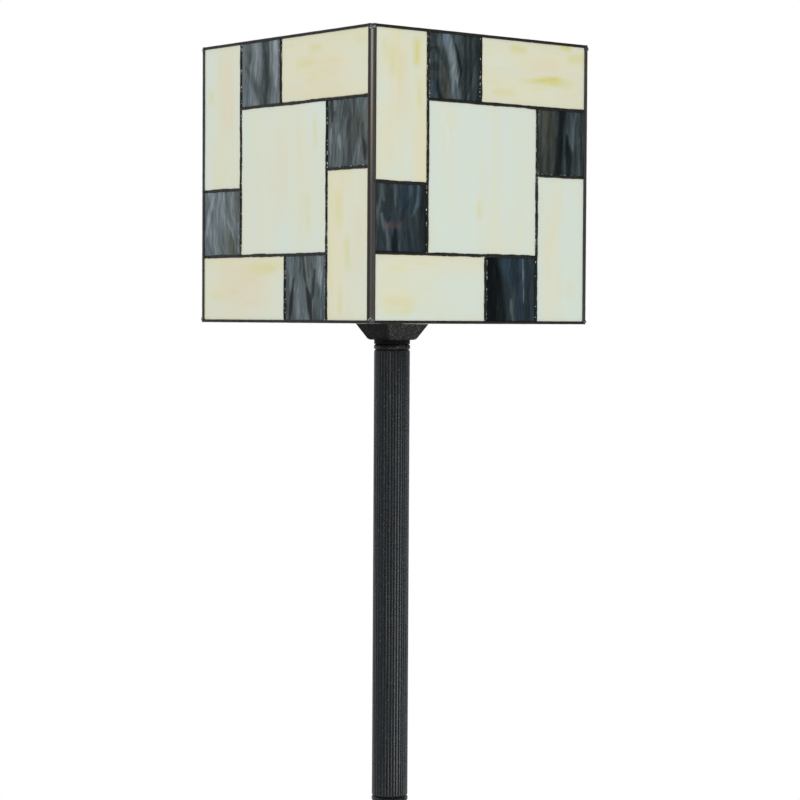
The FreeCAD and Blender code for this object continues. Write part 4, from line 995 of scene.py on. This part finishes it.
def makeTurnTree():
    tree, given, out = newTree("flutedTurning", "GeometryNodeTree",
                               "Geometry Around Radius Flutes Depth Share Finish", "Geometry")
    outline = given["Geometry"]
    rows = put(tree, "GeometryNodeAttributeDomainSize", {0: outline}, component="MESH").outputs["Point Count"]
    grid = made("GeometryNodeMeshGrid", {0: 1.0, 1: 1.0, 2: plus(given["Around"], 1.0), 3: rows})
    place = put(tree, "GeometryNodeInputPosition").outputs[0]
    gridX, gridY, _ = parts(place)
    row = calc("ROUND", times(plus(gridY, 0.5), minus(rows, 1.0)))
    point = made("GeometryNodeSampleIndex", {0: outline, 1: place, "Index": row}, data_type="FLOAT_VECTOR",
                 domain="POINT")
    reach, _, height = parts(point)
    turnShare = plus(gridX, 0.5)
    angle = times(turnShare, 2 * math.pi)
    phase = calc("FRACT", plus(times(turnShare, given["Flutes"]), 0.5))
    across = calc("DIVIDE", times(minus(phase, 0.5), 2.0), given["Share"])
    hollow = calc("MAXIMUM", minus(1.0, times(across, across)), 0.0)
    radius = calc("MINIMUM", reach, minus(given["Radius"], times(hollow, given["Depth"])))
    marked = made("GeometryNodeStoreNamedAttribute", {0: grid, "Name": "hollow", "Value": hollow},
                  data_type="FLOAT", domain="POINT")
    turned = movedTo(marked, times(radius, calc("COSINE", angle)), times(radius, calc("SINE", angle)), height)
    merged = made("GeometryNodeMergeByDistance", {0: turned, "Distance": 1e-6})
    endTree(smoothed(merged), given["Finish"], out)
    return tree


turnTree = makeTurnTree()


def poleOutline(z0, z1):  # closed line of radius and height, the first point repeated at the end
    radius, bore, r = pole["radius"], pole["bore"], pole["endRound"]
    low = [(radius - r + r * math.cos(math.radians(a)), z0 + r - r * math.sin(math.radians(a)))
           for a in range(90, -1, -15)]
    high = [(a, z1 - (b - z0)) for a, b in reversed(low)]
    run = [(radius, z) for z in evenly(z0 + r, z1 - r, pole["step"])[1:-1]]
    points = [(a, 0.0, z) for a, z in [(bore, z0)] + low + run + high + [(bore, z1), (bore, z0)]]
    return lineMesh("outline", points, [(i, i + 1) for i in range(len(points) - 1)])


for section in pole["sections"]:
    low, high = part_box(section + "_pole")
    piece = growPiece(section + "_fluted_pole", turnTree, poleOutline(low[2], high[2]),
                      {"Around": pole["flutes"] * pole["perFlute"], "Radius": pole["radius"],
                       "Flutes": float(pole["flutes"]), "Depth": pole["depth"], "Share": pole["share"],
                       "Finish": finishes["fluted_black"]})
    closeMesh(piece.data, pole["sharp"])
    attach(piece, "lamp")
    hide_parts(section + "_pole")
print("pole made")


# CAD nodes that keep their shape get their finish here, most of them the one of their slot
ownFinish = {"base_cover": "cast_black", "base_cup": "cast_black", "fitter_cup": "cup_black",
             "bulb_filament": "filament"}
slots = {part["node"]: part["material_slot"] for part in frame["record"]["subparts"]}
for node, thing in frame["nodes"].items():
    finish = finishes[ownFinish.get(node, slots[node])]
    if not thing.material_slots:
        thing.data.materials.append(finish)
    for slot in thing.material_slots:
        slot.material = finish
print("node finishes set")


# Floor, light and camera
stageLook = {"half": 2.6, "floor": (236, 236, 236), "mottle": (244, 244, 244), "rough": 0.7, "drop": 0.0005,
             "fade": (1.1, 2.5)}
lamps = {
    "key": dict(at=(0.9, -2.6, 2.9), aim=(0, 0, 1.3), size=1.4, watts=6.0),
    "fill": dict(at=(-1.9, -1.5, 1.8), aim=(0, 0, 1.4), size=1.0, watts=12.5),
    "kicker": dict(at=(1.6, -1.2, 0.5), aim=(0, 0, 1.25), size=0.5, watts=3.8, glossy=False),
}
worldLook = {"light": 0.74, "room": 0.22, "backdrop": 1.0, "behind": (0.25, 0.97, 0.0),
             "roomSpan": (-0.35, 0.85), "softBox": (0.14, -1.0, 0.0), "boxStrength": 7.2,
             "boxSpan": (0.86, 0.97), "boxHeight": (0.04, -0.2)}


def makeFloor():
    half = stageLook["half"]
    finish, tree, shader = newFinish("floor_finish")
    place = objectPlace(tree)
    fill(shader, {"Base Color": tint(grainOf(place, 3.0, 3.0), stageLook["floor"], stageLook["mottle"]),
                  "Roughness": stageLook["rough"]})
    far = put(tree, "ShaderNodeVectorMath", {0: place}, operation="LENGTH").outputs["Value"]
    fade = spread(far, *stageLook["fade"], 0.0, 1.0, True)
    bright = put(tree, "ShaderNodeEmission", {"Color": white, "Strength": 1.0}).outputs[0]
    clear = put(tree, "ShaderNodeBsdfTransparent").outputs[0]
    path = put(tree, "ShaderNodeLightPath").outputs
    seen = calc("MAXIMUM", path["Is Camera Ray"],
                calc("MAXIMUM", path["Is Glossy Ray"], path["Is Transmission Ray"]))
    edge = made("ShaderNodeMixShader", {0: seen, 1: clear, 2: bright})
    whole = made("ShaderNodeMixShader", {0: fade, 1: shader.outputs[0], 2: edge})
    fill(tree.nodes["Material Output"], {"Surface": whole})
    corners = [(-half, -half, 0), (half, -half, 0), (half, half, 0), (-half, half, 0)]
    floor = newObject("floor", meshFrom("floor", corners, [(0, 1, 2, 3)], finish, False))
    floor.location.z = -stageLook["drop"]
    return floor


def makeWorld(c):
    world = bpy.data.worlds.new("studio")
    scene.world = world
    world.use_nodes = True
    tree = world.node_tree
    tree.nodes.clear()

    def facing(direction):
        values = {0: way, 1: direction}
        return put(tree, "ShaderNodeVectorMath", values, operation="DOT_PRODUCT").outputs["Value"]

    def glow(strength):
        return put(tree, "ShaderNodeBackground", {"Color": white, "Strength": strength}).outputs[0]
    path = put(tree, "ShaderNodeLightPath").outputs
    way = put(tree, "ShaderNodeTexCoord").outputs["Generated"]
    room = spread(facing(c["behind"]), *c["roomSpan"], c["room"], c["backdrop"])  # dim room, white backdrop
    box = spread(facing(c["softBox"]), *c["boxSpan"], 0.0, c["boxStrength"], True)
    box = times(box, spread(parts(way)[2], *c["boxHeight"]))  # stands low, so that it shows in the pole
    mirrored = glow(plus(room, box))
    mixed = made("ShaderNodeMixShader", {0: path["Is Glossy Ray"], 1: glow(c["light"]), 2: mirrored})
    straight = calc("MAXIMUM", path["Is Camera Ray"], path["Is Transmission Ray"])
    mixed = made("ShaderNodeMixShader", {0: straight, 1: mixed, 2: glow(1.0)})
    put(tree, "ShaderNodeOutputWorld", {"Surface": mixed})


def makeLamps():
    for name, lamp in lamps.items():
        data = bpy.data.lights.new(name, "AREA")
        data.shape, data.size, data.energy = "SQUARE", lamp["size"], lamp["watts"]
        thing = newObject(name, data)
        thing.location = lamp["at"]
        thing.rotation_euler = (Vector(lamp["aim"]) - Vector(lamp["at"])).to_track_quat("-Z", "Y").to_euler()
        thing.visible_camera = False
        thing.visible_glossy = lamp.get("glossy", True)


view = {"azimuth": -39.102, "yaw": -39.3, "away": 2.0, "aboveRim": 0.0048, "pitch": -1.974, "roll": 0.322,
        "focal": 2393.1, "across": 800, "sensor": 36.0, "clip": (0.05, 50.0)}  # focal and across in pixels


def makeCamera():
    data = bpy.data.cameras.new("view")
    data.sensor_width = view["sensor"]
    data.lens = view["focal"] / view["across"] * view["sensor"]
    data.clip_start, data.clip_end = view["clip"]
    thing = newObject("view", data)
    around, yaw, pitch = (math.radians(view[key]) for key in ("azimuth", "yaw", "pitch"))
    away = view["away"]
    thing.location = (away * math.sin(around), -away * math.cos(around), shade["bottom"] + view["aboveRim"])
    ahead = Vector((-math.sin(yaw) * math.cos(pitch), math.cos(yaw) * math.cos(pitch), math.sin(pitch)))
    level = ahead.to_track_quat("-Z", "Y").to_matrix()
    thing.rotation_euler = (level @ Matrix.Rotation(math.radians(view["roll"]), 3, "Z")).to_euler()
    scene.camera = thing


makeFloor()
makeWorld(worldLook)
makeLamps()
makeCamera()
print("stage, light and camera set")
